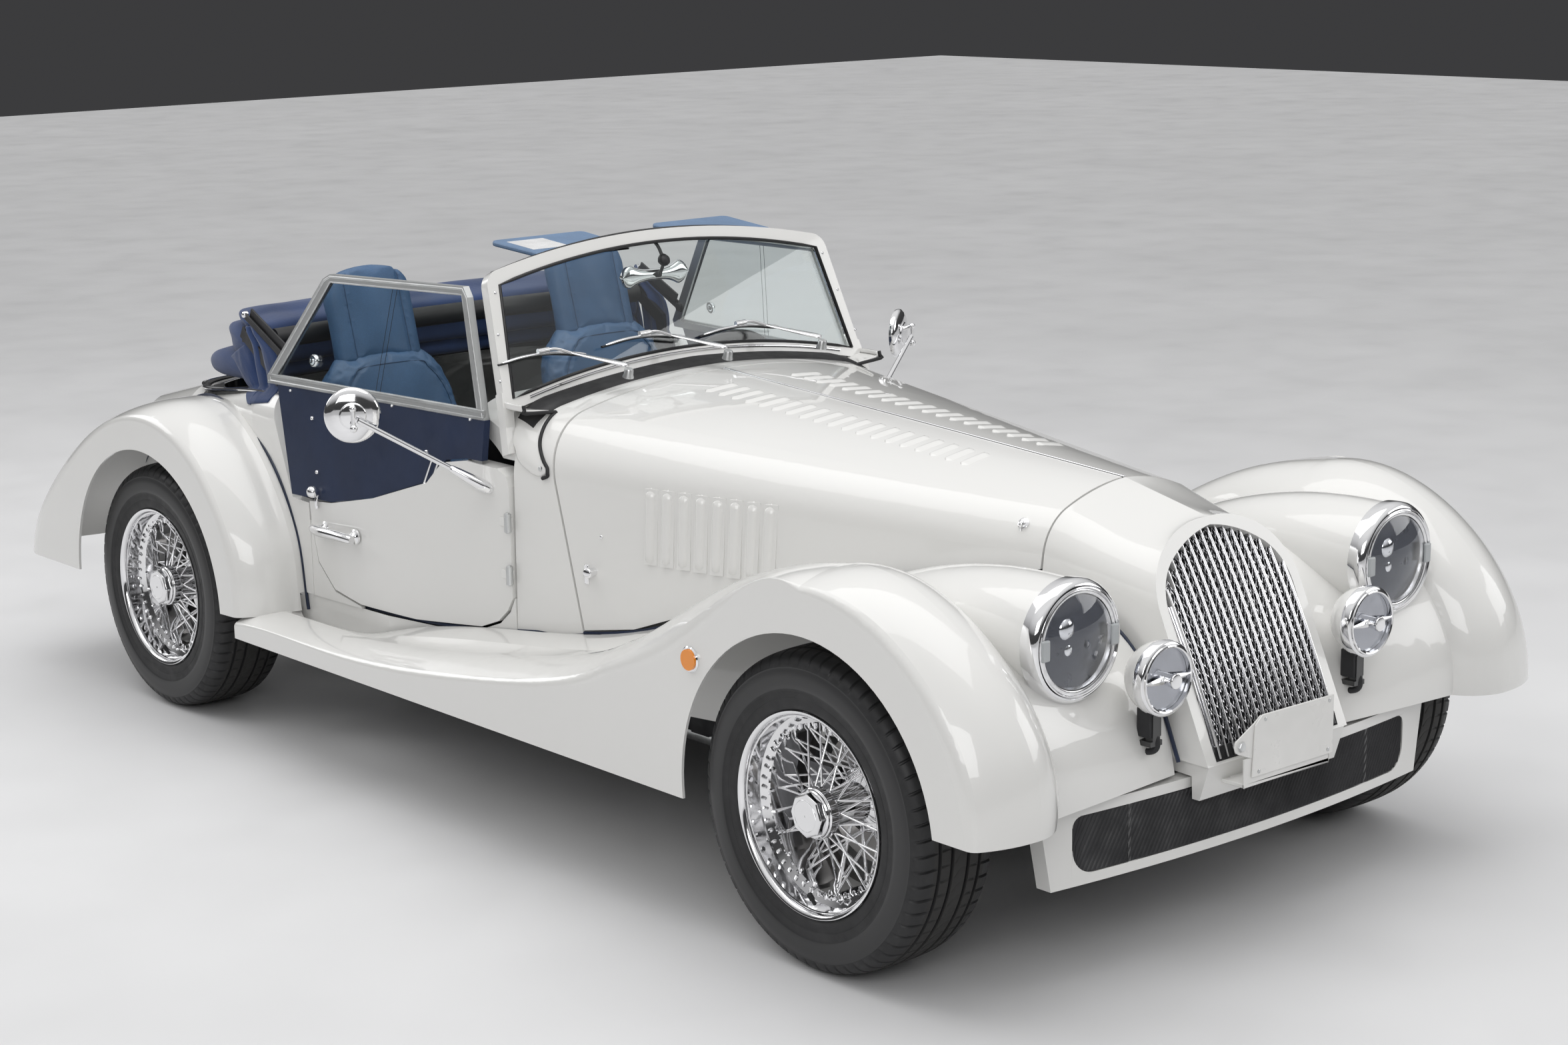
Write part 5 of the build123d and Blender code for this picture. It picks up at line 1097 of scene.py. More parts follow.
def puffed(name, shape, on_seam, cap=0.014, voxel=0.0075, pull=0.004):
    """The form as stuffed leather: held at its seams, swollen by a cloth simulation between them."""
    raw = bpy.data.meshes.new(name)
    raw.from_pydata([tuple(p) for p in shape[0]], [], shape[1])
    form = bpy.data.objects.new(name + "_form", raw)
    scene.collection.objects.link(form)
    remesh = form.modifiers.new("remesh", "REMESH")
    remesh.mode = "VOXEL"
    remesh.voxel_size = voxel
    mesh = evaluated(form)
    seam = [v.index for v in mesh.vertices if on_seam(v.co)]
    for k in seam:
        mesh.vertices[k].co -= mesh.vertices[k].normal * pull
    start = [v.co.copy() for v in mesh.vertices]
    pad = bpy.data.objects.new(name + "_pad", mesh)
    scene.collection.objects.link(pad)
    pad.vertex_groups.new(name="held").add(seam, 1.0, "REPLACE")
    cloth = pad.modifiers.new("cloth", "CLOTH")
    settings = cloth.settings
    settings.quality = 4
    settings.use_pressure = True
    settings.uniform_pressure_force = PUFF
    settings.tension_stiffness = settings.compression_stiffness = STIFFNESS
    settings.bending_stiffness = BENDING
    settings.vertex_group_mass = "held"
    settings.effector_weights.gravity = 0
    cloth.point_cache.frame_start = 1
    cloth.point_cache.frame_end = CLOTH_FRAMES
    for moment in range(1, CLOTH_FRAMES + 1):
        scene.frame_set(moment)
    mesh = evaluated(pad)
    for vertex, at in zip(mesh.vertices, start):
        step = vertex.co - at
        if step.length > cap:
            vertex.co = at + step * (cap / step.length)
    scene.frame_set(1)
    mesh.polygons.foreach_set("use_smooth", [True] * len(mesh.polygons))
    return mesh


def on_mesh(mesh, points, direction):
    """The points dropped on to a mesh along a direction, then lifted a little off it."""
    work = bmesh.new()
    work.from_mesh(mesh)
    surface = BVHTree.FromBMesh(work)
    work.free()
    hits = [surface.ray_cast(p - direction * 0.3, direction)[0] for p in points]
    return [hit - direction * SEAM_LIFT for hit in hits if hit is not None]


def back_half(v):
    low = BACK_HALF + 0.008 * min(1.0, v / 0.2)
    if v < BACK_ROUND:
        return low
    return low * max(0.0, 1 - ((v - BACK_ROUND) / (BACK_TOP - BACK_ROUND)) ** 2.5) ** 0.4


def back_inner(v):
    """Half width of the back's seam line, zero above it."""
    if v >= 0.44:
        return 0.0
    return max(0.0, back_half(v * BACK_TOP / (BACK_TOP - BACK_SEAM_INSET)) - BACK_SEAM_INSET)


def back_rows():
    for v in BACK_LEVELS:
        foot = min(1.0, (v + 0.004) / 0.03) ** 0.5
        top = min(1.0, max(0.05, (0.503 - v) / 0.075)) ** 0.45
        yield v, max(0.02, back_half(v) - 0.006), -0.052, 0.05 * foot * top


def head_rows():
    for v in HEAD_LEVELS:
        far = max(0.0, (v - 0.6) / 0.085)
        wide = 0.121 * (1 - far ** 3) ** 0.4 if far < 1 else 0.03
        foot = min(1.0, (v - 0.43) / 0.02) ** 0.5
        thick = 0.037 * foot * (1 + 0.12 * far) * (1 if far < 0.9 else 0.6)
        yield v, max(0.03, wide * (0.9 + 0.1 * foot)), -0.055, thick


def base_rows():
    for v in BASE_LEVELS:
        end = min(1.0, max(0.03, v / 0.05)) ** 0.5 * min(1.0, max(0.03, (0.514 - v) / 0.05)) ** 0.5
        yield v, 0.2 * (0.9 + 0.1 * end), 0.056, 0.056 * end


def on_back_seam(p):
    u, v, w = from_back(p)
    return w > -0.04 and abs(abs(u) - back_inner(v)) < SEAM_HALF and v < 0.452


def on_head_seam(p):
    u, v, w = from_back(p)
    return abs(abs(u) - HEAD_SEAM_X) < 0.005 and w > -0.085 and v > 0.445


def on_base_seam(p):
    return abs(abs(p[0] - SEAT_X) - BASE_SEAM_X) < SEAM_HALF and p[2] > 0.4


back_mesh = puffed("seat_back", cushion_form(in_back, back_rows()), on_back_seam)
head_mesh = puffed("headrest", cushion_form(in_back, head_rows(), flat=0.5), on_head_seam, cap=0.009,
                   voxel=0.006)
base_mesh = puffed("seat_base", cushion_form(in_base, base_rows()), on_base_seam)

side_run = [0.03 + 0.02 * k for k in range(21)]
right_side = [(back_inner(v), v) for v in side_run if back_inner(v) > 0.03]
line = [in_back(u, v, 0.05) for u, v in right_side] + [in_back(-u, v, 0.05) for u, v in reversed(right_side)]
seam_lines = [on_mesh(back_mesh, spline(line, 4), -BACK_OUT)]
for u in (-HEAD_SEAM_X, HEAD_SEAM_X):
    seam_lines.append(on_mesh(head_mesh, [in_back(u, 0.45 + 0.012 * k, 0.05) for k in range(19)], -BACK_OUT))
for u in (-BASE_SEAM_X, BASE_SEAM_X):
    seam_lines.append(on_mesh(base_mesh, [in_base(u, 0.02 + 0.03 * k, 0.2) for k in range(16)], -Z))
SEAM_LEATHER = leather("seam_leather", (0.03, 0.07, 0.15)).material
for side, sign in SIDES:
    shift = sign * SEAT_X - SEAT_X
    for name, mesh, fill in (("seat_back", back_mesh, 0.85), ("headrest", head_mesh, 0.9),
                             ("seat_base", base_mesh, 0.85)):
        copy = mesh.copy()
        copy.transform(Matrix.Translation((shift, 0, 0)))
        copy.materials.clear()
        stands_for = ["seats"] if (name, side) == ("seat_back", "left") else ()
        pad = place(f"{name}_{side}", copy, BLUE_LEATHER, "body", "blue_leather", stands_for,
                    levels=1)
    threads = [tube([p + X * shift for p in points], SEAM_R, 6) for points in seam_lines]
    piece("seat_seams_" + side, join(*threads), SEAM_LEATHER, slot="blue_leather")
    x = sign * SEAT_X
    rails = [brick((x - 0.17, 0.16, 0.304), (x - 0.13, 0.6, 0.374)),
             brick((x + 0.13, 0.16, 0.304), (x + 0.17, 0.6, 0.374)),
             brick((x - 0.17, 0.2, 0.33), (x + 0.17, 0.58, 0.372))]
    piece("seat_rails_" + side, join(*rails), BLACK_PAINT, slot="black_frame", bevel=0.004)

# ------------------------------ folded hood
HOOD_STATIONS = 56
HOOD_HALF = 0.604
WRINKLE = 0.004
REAR_FOLD = [(0.87, 0.844), (0.985, 0.842), (1.085, 0.842), (1.135, 0.851), (1.15, 0.873), (1.132, 0.893),
             (1.075, 0.908), (1.01, 0.913), (0.94, 0.91), (0.88, 0.89)]
MIDDLE_FOLD = [(0.88, 0.88), (0.985, 0.893), (1.03, 0.915), (1.04, 0.945), (1.053, 0.968), (1.04, 0.981),
               (1.005, 0.984), (0.965, 0.979), (0.915, 0.968), (0.875, 0.93)]
TOP_FOLD = [(0.88, 0.955), (0.935, 0.968), (0.985, 0.99), (1.007, 1.008), (0.998, 1.018), (0.972, 1.017),
            (0.93, 1.003), (0.88, 0.988)]


def fold_across(outline, reach, bow, seed):
    """A fold of the cloth lying across the car, its side view closed and both ends rounded off."""
    side = spline([(0, y, z) for y, z in outline], 5, closed=True)
    middle = sum(side, Vector()) / len(side)
    rows = []
    for k in range(HOOD_STATIONS + 1):
        t = sin(pi * (k / HOOD_STATIONS - 0.5))
        end = max(0.0, (abs(t) - 0.94) / 0.06)
        full = sqrt(max(0.0004, 1 - end * end))
        row = []
        for p, a in zip(side, round_angles(len(side))):
            spot = middle + (p - middle) * full
            wave = noise.noise(Vector((t * 3.2, 1.4 * cos(a) + seed, 1.4 * sin(a))))
            wave += 0.5 * noise.noise(Vector((t * 9.0, 2.6 * cos(a), 2.6 * sin(a) + seed)))
            outward = (p - middle).normalized() * wave * WRINKLE * full
            shift = bow * (1 - t ** 6)
            row.append(Vector((t * reach, spot.y + shift + outward.y, spot.z + outward.z)))
        rows.append(row)
    return grid(rows, closed=True, capped=True)


folds = [fold_across(REAR_FOLD, HOOD_HALF, 0.1, 0.0),
         fold_across(MIDDLE_FOLD, HOOD_HALF - 0.003, 0.08, 3.1),
         fold_across(TOP_FOLD, HOOD_HALF - 0.006, 0.055, 6.4)]
hood = piece("hood_cloth_folds", join(*folds), HOOD_CLOTH, slot="hood_cloth", replaces=["folded_hood"],
             angle=180, levels=1)

DRAPE_DOWN, DRAPE_ALONG = 24, 44
DECK_TOP = 0.86


def crest(u, share, width, height):
    """Height of a rounded crest at u."""
    return height * max(0.0, cos(pi * (u - share) / width)) ** 0.7 if abs(u - share) < width / 2 else 0.0


def drape(rear_edge, front_edge, crests, inner_x):
    """Cloth hanging over the deck's side between two edges; crests are (share along it, width, height)."""
    rear, front = (spline([(0, y, z) for y, z in edge], 6) for edge in (rear_edge, front_edge))
    rows = []
    for j in range(DRAPE_DOWN + 1):
        v = j / DRAPE_DOWN
        a, b = (line[min(len(line) - 1, round(v * (len(line) - 1)))] for line in (rear, front))
        row = []
        for k in range(DRAPE_ALONG + 1):
            u = k / DRAPE_ALONG
            p = b.lerp(a, u)
            swell = max(crest(u, *shape) for shape in crests)
            swell *= 0.35 + 0.65 * sin(pi * min(1.0, 0.12 + v * 0.86))
            ripple = 0.0022 * noise.noise(Vector((u * 7, v * 3, inner_x * 40)))
            x = inner_x + swell + ripple
            hit, _ = skin_at("rear_body", (0.95, p.y, p.z), -X)
            if hit is not None and p.z < DECK_TOP:
                x = max(x, hit.x + 0.004)
            row.append(Vector((x, p.y, p.z)))
        rows.append(row)
    return rows


FRONT_DRAPE = ([(0.94, 0.985), (0.927, 0.972), (0.909, 0.945), (0.9, 0.902), (0.891, 0.851), (0.88, 0.804)],
               [(0.885, 0.992), (0.858, 0.972), (0.808, 0.945), (0.79, 0.915), (0.782, 0.876),
                (0.792, 0.818)],
               ((0.3, 0.75, 0.021), (0.82, 0.42, 0.018)), 0.596)
REAR_DRAPE = ([(1.03, 0.9), (1.012, 0.882), (0.992, 0.862), (0.965, 0.84), (0.93, 0.822), (0.885, 0.803)],
              [(0.91, 0.96), (0.905, 0.93), (0.895, 0.9), (0.888, 0.87), (0.88, 0.835), (0.87, 0.803)],
              ((0.62, 0.8, 0.013),), 0.594)
drapes = [drape(*FRONT_DRAPE), drape(*REAR_DRAPE)]
for side, sign in SIDES:
    shape = join(*(grid([[Vector((sign * p.x, p.y, p.z)) for p in row] for row in rows]) for rows in drapes))
    made = piece("hood_side_pleats_" + side, shape, HOOD_CLOTH, slot="hood_cloth", angle=180)
    made.modifiers.new("thick", "SOLIDIFY").thickness = 0.004

# front rail of the hood, laid across behind the seats, and its irons
RAIL_HALF, RAIL_Y, RAIL_Z, RAIL_R = 0.56, 0.862, 0.966, 0.022
# each iron: lower end, upper end, half width, distance from the middle
IRONS = (((0.735, 0.917), (0.93, 1.014), 0.0075, 0.606), ((0.75, 0.948), (0.906, 1.022), 0.0125, 0.602),
         ((0.74, 0.931), (0.92, 1.019), 0.003, 0.609))
PIVOT, PIN = (0.604, 0.742, 0.925), (0.607, 0.926, 1.016)
PIVOT_DISC = [(-0.004, 0.011), (0.006, 0.011), (0.008, 0.008)]
PIN_HEAD = [(-0.003, 0.0085), (0.006, 0.0085), (0.009, 0.0065), (0.0105, 0.003)]

rail = []
for x in [-RAIL_HALF + 0.07 * k for k in range(17)]:
    share = (x / RAIL_HALF) ** 2
    rail.append(Vector((x, RAIL_Y + 0.012 * share, RAIL_Z - 0.01 * share)))
piece("hood_rail", tube(spline(rail, 3), RAIL_R, 14, flat=1.15), TRIM, slot="hood_cloth", angle=60)
irons, pins = [], []
for sign in (-1, 1):
    for low, high, half, out in IRONS:
        a, b = Vector((sign * out, *low)), Vector((sign * out, *high))
        wide = (b - a).normalized().cross(X) * half
        irons.append(slab([a - wide, a + wide, b + wide, b - wide], X * sign * 0.005))
    irons.append(turned(PIVOT_DISC, mirrored_at(PIVOT, sign), (sign, 0, 0), 24))
    pins.append(turned(PIN_HEAD, mirrored_at(PIN, sign), (sign, 0, 0), 20))
piece("hood_irons", join(*irons), BLACK_PAINT, slot="black_frame", bevel=0.0012)
bright("hood_pins", join(*pins), angle=50)

# rim of the cockpit and the bright strip under the hood
RIM_LINE = ([(0.604, 0.7 + 0.06 * k) for k in range(8)] + [(0.59, 1.17), (0.56, 1.215), (0.51, 1.24)]
            + [(0.4 - 0.1 * k, 1.25 + 0.004 * k) for k in range(5)])
SMOOTHINGS = 6
rim = []
for x, y in RIM_LINE:
    hit, _ = skin_at("rear_body", (x, y, 1.3), -Z)
    if hit is not None:
        rim.append(hit + Vector((0, 0, 0.002)))
for _ in range(SMOOTHINGS):
    heights = [p.z for p in rim]
    for i in range(1, len(rim) - 1):
        rim[i].z = (heights[i - 1] + heights[i] + heights[i + 1]) / 3
run = rim + [Vector((-p.x, p.y, p.z)) for p in reversed(rim) if p.x > 0.001]
piece("cockpit_rim", tube(spline(run, 4), 0.0085, 10), GASKET, slot="black_mesh")
strip = []
for p in run:
    aside = 0.01 * (p.x > 0.3) - 0.01 * (p.x < -0.3)
    strip.append(p + Vector((aside, 0.006 if abs(p.x) < 0.57 else 0.0, 0.006)))
bright("deck_strip", tube(spline(strip, 4), 0.0045, 8))

# ------------------------------ side-screens
# the screen leans in by these slopes: along the car and up
SCREEN_X, SLOPE_Y, SLOPE_Z = 0.612, 0.0872, 0.1472
FRAME_LOOP = [(-0.021, 0.868), (0.07, 1.127), (0.087, 1.147), (0.573, 1.137), (0.595, 1.126), (0.78, 0.886),
              (0.777, 0.872)]
WINDOW_LOOP = [(0.000, 0.886), (0.087, 1.135), (0.572, 1.125), (0.755, 0.886)]
BAR_START, BAR_END, BAR_HALF, BAR_RIDGE, BAR_OUT = (-0.024, 0.8765), (0.783, 0.8775), 0.0125, 0.0045, 0.006
# lines on the pane: lower end, upper end, radius
PANE_LINES = (((0.355, 0.888), (0.322, 1.13), 0.0006), ((0.371, 0.888), (0.338, 1.13), 0.0006),
              ((0.004, 0.89), (0.09, 1.131), 0.0016), ((0.569, 1.122), (0.75, 0.89), 0.0016))
KNOB_AT = (0.611, 0.935)
KNOB_RING = [(0.003, 0.015), (0.009, 0.015), (0.012, 0.0125), (0.012, 0.01), (0.003, 0.0095)]
KNOB_MIDDLE = [(0.003, 0.0065), (0.01, 0.006), (0.013, 0.0035)]
STUDS = ((0.598, 0.8, 0.0052), (0.563, 0.676, 0.0052), (0.164, 0.7725, 0.0052), (0.69, 0.856, 0.0035),
         (0.3, 0.862, 0.0035), (0.02, 0.862, 0.0035))
BALL_LATCH = [(0.0, 0.0085), (0.006, 0.0085), (0.01, 0.0125), (0.018, 0.015), (0.026, 0.0125), (0.031, 0.006)]
ALUMINIUM = brushed("screen_aluminium", (0.6, 0.61, 0.61), 0.45, (0.2, 0.2, 1)).material
KNOB_BRIGHT = chrome("knob_bright", 0.12, (0.75, 0.78, 0.8)).material


def on_side(sign, y, z, out=0.0):
    """A point on the side-screen's mid plane, or out from it."""
    x = SCREEN_X + (SLOPE_Y * (y - 0.3) - SLOPE_Z * (z - 0.7)) / 0.985
    return Vector((sign * (x + out), y, z))


def frame_bar(sign):
    """The flat bar with two low ridges under the side-screen's window."""
    a, b = on_side(sign, *BAR_START, BAR_OUT), on_side(sign, *BAR_END, BAR_OUT)
    face = Vector((sign, -0.088, 0.149)).normalized()
    across = face.cross((b - a).normalized()).normalized()
    half = [(0.3, 0.0012), (0.45, BAR_RIDGE), (0.82, BAR_RIDGE), (1.0, 0.001), (1.0, -0.004)]
    section = [(-BAR_HALF * w, h) for w, h in half[::-1]] + [(BAR_HALF * w, h) for w, h in half]
    return grid([[p + across * w + face * h for w, h in section] for p in (a, b)], closed=True, capped=True)


def outlined(sign, loop, radius):
    """A bead round a loop of the side-screen."""
    line = []
    for (y0, z0), (y1, z1) in zip(loop, loop[1:] + loop[:1]):
        line += [on_side(sign, y0 + (y1 - y0) * k / 8, z0 + (z1 - z0) * k / 8, 0.006) for k in range(8)]
    return tube(line, radius, 8, closed=True)


def side_screen(side, sign):
    """Beads, pane lines, knob, studs and latch of one side-screen."""
    body = "door_" + side
    out = Vector((sign, -0.088, 0.149))
    beads = join(outlined(sign, FRAME_LOOP, 0.0038), outlined(sign, WINDOW_LOOP, 0.0026), frame_bar(sign))
    piece("screen_beads_" + side, beads, ALUMINIUM, body, "bright_trim", angle=50)
    lines = [tube([on_side(sign, *low, 0.004), on_side(sign, *high, 0.004)], r, 6)
             for low, high, r in PANE_LINES]
    piece("pane_edges_" + side, join(*lines), GASKET, body, "black_mesh")
    knob = on_side(sign, *KNOB_AT)
    knobs = join(ring(KNOB_RING, knob, out, 32), turned(KNOB_MIDDLE, knob, out, 20))
    piece("pane_knob_" + side, knobs, KNOB_BRIGHT, body, "bright_trim", angle=40)
    studs = []
    for y, z, r in STUDS:
        head = [(0.004, r), (0.01, r), (0.0125, r * 0.75), (0.0135, r * 0.3)]
        studs.append(turned(head, on_side(sign, y, z), out, 16))
    # ball latch at the rear lower corner
    latch = on_side(sign, 0.5525, 0.632, 0.008)
    tail = [(0, 0.002, -0.004), (sign * 0.006, 0.004, -0.024), (sign * 0.004, 0.004, -0.04)]
    studs.append(turned(BALL_LATCH, latch, out, 24))
    studs.append(tube(spline([latch + Vector(p) for p in tail], 4), 0.0045, 8))
    # loop by the front edge of the cloth
    low, high, aside = on_side(sign, 0.15, 0.702, 0.01), on_side(sign, 0.128, 0.76, 0.01), Y * 0.013
    for a, b in ((low - aside, high - aside), (low + aside, high + aside), (high - aside, high + aside),
                 (low - aside, low + aside)):
        studs.append(tube([a, b], 0.003, 8))
    bright("screen_studs_" + side, join(*studs), body, angle=50)


# ------------------------------ door handles and hinges
HANDLE_Z = 0.545
HANDLE_FEET = (0.405, 0.535)
HANDLE_FOOT = [(-0.002, 0.0185), (0.003, 0.018), (0.006, 0.0135), (0.01, 0.0115), (0.026, 0.011)]
# along the car, out from the door, up from the handle's middle
LEVER = ((0.386, 0.022, -0.002), (0.405, 0.026, 0.0), (0.44, 0.028, 0.001), (0.48, 0.028, 0.0),
         (0.52, 0.027, -0.001), (0.545, 0.025, 0.0), (0.56, 0.02, 0.0))
HINGE_X, HINGE_Y, HINGE_HEIGHTS = 0.569, -0.106, (0.525, 0.645)
BARREL = [(-0.0215, 0.0045), (-0.0205, 0.008), (0.0205, 0.008), (0.0215, 0.0045)]
HINGE_PIN = [(-0.0235, 0.003), (-0.022, 0.0055), (0.022, 0.0055), (0.0235, 0.003)]


def door_hardware(side, sign):
    """Handle and hinge barrels of one door."""
    body = "door_" + side
    # the handle stands on the door's skin: plates, necks and the lever over them
    hit, _ = skin_at(body, (sign * 0.9, 0.47, 0.6), (-sign, 0, 0))
    skin_x = abs(hit.x)
    handle = [turned(HANDLE_FOOT, (sign * skin_x, y, HANDLE_Z), (sign, 0, 0), 28) for y in HANDLE_FEET]
    lever = spline([(sign * (skin_x + reach), y, HANDLE_Z + up) for y, reach, up in LEVER], 5)
    last = len(lever) - 1
    radii = [0.0085 + 0.0045 * sin(pi * (k / last) * 0.8 + 0.3) for k in range(len(lever))]
    handle.append(tube(lever, radii, 12))
    bright("door_handle_" + side, join(*handle), body, angle=50)
    hinges = []
    for z in HINGE_HEIGHTS:
        for profile, steps in ((BARREL, 20), (HINGE_PIN, 16)):
            hinges.append(turned(profile, (sign * HINGE_X, HINGE_Y, z), Z, steps))
    piece("hinge_barrels_" + side, join(*hinges), SATIN, body, "bright_trim", angle=40)


# ------------------------------ door mirrors
MIRROR_FOOT, MIRROR_HEAD = (0.558, -0.06, 0.703), (0.826, 0.103, 0.895)
MIRROR_TURN = radians(30)
# the arm's thick foot: distance along it and radius
ARM_FOOT = ((0.0, 0.004), (0.004, 0.011), (0.014, 0.0158), (0.034, 0.0172), (0.06, 0.0158), (0.085, 0.0128),
            (0.1, 0.0108), (0.108, 0.0098), (0.112, 0.0072))
POST_LOW, POST_HIGH = -0.024, 0.02
DISH = [(-0.014, 0.061), (-0.009, 0.0625), (-0.004, 0.062), (0.001, 0.056), (0.0045, 0.044),
        (0.0065, 0.03), (0.0085, 0.029), (0.0095, 0.026), (0.01, 0.002)]
FACE = [(-0.0142, 0.0585), (-0.015, 0.058), (-0.0152, 0.002)]
MIRROR_SILVER = chrome("mirror_silver", 0.02, (0.9, 0.9, 0.91)).material


def door_mirror(side, sign):
    """One mirror on its jointed arm."""
    body = "door_" + side
    foot, head = mirrored_at(MIRROR_FOOT, sign), mirrored_at(MIRROR_HEAD, sign)
    face = Vector((sign * sin(MIRROR_TURN), -cos(MIRROR_TURN), 0))
    run = (head - foot).normalized()
    start = foot + run * 0.012
    post = head + face * 0.03
    arm = [tube([start + run * s for s, _ in ARM_FOOT], [r for _, r in ARM_FOOT], 20, flat=0.8),
           tube([start + run * 0.108, head + face * 0.03 - run * 0.012], 0.0062, 14),
           tube([start + run * 0.17, start + run * 0.176], 0.0072, 14),
           tube([post + Z * POST_LOW, post + Z * POST_HIGH], 0.0048, 12)]
    for height, r in ((POST_LOW, 0.0092), (POST_HIGH, 0.0082)):
        end_ball = [(-r, r * 0.2), (-r * 0.7, r * 0.71), (0, r), (r * 0.7, r * 0.71), (r, r * 0.2)]
        arm.append(turned(end_ball, post + Z * height, Z, 20))
    arm.append(tube([post + Z * POST_HIGH, head + face * 0.006 + Z * 0.012], 0.0055, 12))
    bright("mirror_arm_" + side, join(*arm), body, angle=50)
    bright("mirror_dish_" + side, turned(DISH, head, face, 72), body,
           replaces=["door_mirror_" + side], angle=50)
    piece("mirror_face_" + side, turned(FACE, head, face, 64), MIRROR_SILVER, body, "bright_trim")


for side, sign in SIDES:
    side_screen(side, sign)
    door_hardware(side, sign)
    door_mirror(side, sign)

# ------------------------------ windscreen feet
FOOT_FRONT = [(-0.128, 0.908), (-0.136, 0.885), (-0.145, 0.858), (-0.16, 0.825), (-0.182, 0.795),
              (-0.199, 0.777)]
FOOT_REAR = [(-0.05, 0.908), (-0.06, 0.885), (-0.072, 0.855), (-0.092, 0.82), (-0.122, 0.785),
             (-0.168, 0.758)]
FOOT_TIP = ((-0.203, 0.766), (-0.192, 0.757))
FOOT_BOLT = [(-0.002, 0.006), (0.0015, 0.006), (0.003, 0.0045), (0.0032, 0.002)]
POST_HALF, POST_FROM = 0.531, 0.885


def on_scuttle_side(sign, y, z, out):
    """A point on the scuttle's side or the windscreen's post above it, or out from them."""
    hit, _ = skin_at("scuttle", (sign * 0.95, y, z), (-sign, 0, 0))
    x = max(abs(hit.x) if hit is not None else 0.0, POST_HALF if z > POST_FROM else 0.0)
    return Vector((sign * (x + out), y, z))


feet, edges, bolts = [], [], []
for sign in (-1, 1):
    front, rear = (spline([(0, y, z) for y, z in line], 4) for line in (FOOT_FRONT, FOOT_REAR))
    rows = []
    for a, b in zip(front, rear):
        rows.append([on_scuttle_side(sign, a.y + (b.y - a.y) * k / 8, a.z + (b.z - a.z) * k / 8,
                                     0.003 + 0.003 * sin(pi * k / 8)) for k in range(9)])
    tip = [on_scuttle_side(sign, y, z, 0.003) for y, z in FOOT_TIP]
    rows.append([tip[0].lerp(tip[1], k / 8) for k in range(9)])
    feet.append(grid(rows))
    rim = [on_scuttle_side(sign, p.y - 0.004, p.z, 0.002) for p in front]
    rim += [tip[0] + Vector((0, -0.004, 0)), tip[0] + Vector((0, -0.003, -0.007)),
            tip[1] + Vector((0, 0, -0.004))]
    edges.append(tube(spline(rim, 3), 0.0042, 8))
    bolts.append(turned(FOOT_BOLT, on_scuttle_side(sign, -0.186, 0.774, 0.004), (sign, 0, 0), 20))
made = piece("screen_feet", join(*feet), PAINT, slot="body_paint", angle=180, levels=1)
made.modifiers.new("thick", "SOLIDIFY").thickness = 0.006
piece("screen_foot_rubbers", join(*edges), RUBBER, slot="black_mesh", angle=180)
piece("screen_foot_bolts", join(*bolts), SATIN, slot="bright_trim", angle=40)

# ------------------------------ pressed louvres on the bonnet's sides
SIDE_LOUVRES, SIDE_LOUVRE_PITCH, SIDE_LOUVRE_Y = 8, 0.04386, -0.793
SIDE_LOUVRE_FOOT, SIDE_LOUVRE_HEIGHT = 0.594, 0.17
SIDE_LOUVRE_HALF, SIDE_LOUVRE_TALL = 0.0135, 0.0105
PLAIN_BEFORE, PLAIN_BEHIND = -0.86, -0.44


def bonnet_side(side, sign, y, z):
    """Half width of the bonnet's plain side, read before and behind the louvres."""
    before, behind = (abs(skin_at("bonnet_" + side, (sign * 0.95, at, z), (-sign, 0, 0))[0].x)
                      for at in (PLAIN_BEFORE, PLAIN_BEHIND))
    return before + (behind - before) * (y - PLAIN_BEFORE) / (PLAIN_BEHIND - PLAIN_BEFORE)


for side, sign in SIDES:
    ribs = []
    for k in range(SIDE_LOUVRES):
        middle = SIDE_LOUVRE_Y + SIDE_LOUVRE_PITCH * k
        rows = []
        for j in range(15):
            z = SIDE_LOUVRE_FOOT + SIDE_LOUVRE_HEIGHT * (j / 14)
            full = pressed(j / 14, 0.86, 0.0197)
            row = []
            for u in [2 * i / 10 - 1 for i in range(11)]:
                y = middle + SIDE_LOUVRE_HALF * u * full
                tall = SIDE_LOUVRE_TALL * full * (1 - abs(u) ** 2.6)
                row.append(Vector((sign * (bonnet_side(side, sign, y, z) + tall - 0.0008), y, z)))
            rows.append(row)
        ribs.append(grid(rows))
    piece("side_louvres_" + side, join(*ribs), PAINT, "bonnet_" + side, "body_paint", angle=60)

# ------------------------------ sun visors
# middle and half width of each board; the right one carries a card-sized mirror, drawn pale grey as a painted
# reflection
VISORS = ((-0.2, 0.138), (0.258, 0.122))
VISOR_Y, VISOR_Z, VISOR_TILT = 0.066, 1.197, radians(5)
VISOR_ROUND = 0.018
VISOR_MIRROR = [(-0.112, 0.052), (-0.01, 0.052), (-0.01, 0.158), (-0.112, 0.158)]
VISOR_UP = Vector((0, -sin(VISOR_TILT), cos(VISOR_TILT)))


def on_board(x, y, out=0.0):
    return Vector((x, VISOR_Y + y * cos(VISOR_TILT) - out * sin(VISOR_TILT),
                   VISOR_Z + y * sin(VISOR_TILT) + out * cos(VISOR_TILT)))


def board_outline(half):
    """A board's outline with four rounded corners."""
    corners = ((half - 0.022, 0.178), (-half + 0.022, 0.178), (-half + 0.03, 0.02), (half - 0.03, 0.02))
    turns = [pi / 2 * k / 6 for k in range(7)]
    return [(x + VISOR_ROUND * cos(quarter * pi / 2 + a), y + VISOR_ROUND * sin(quarter * pi / 2 + a))
            for quarter, (x, y) in enumerate(corners) for a in turns]


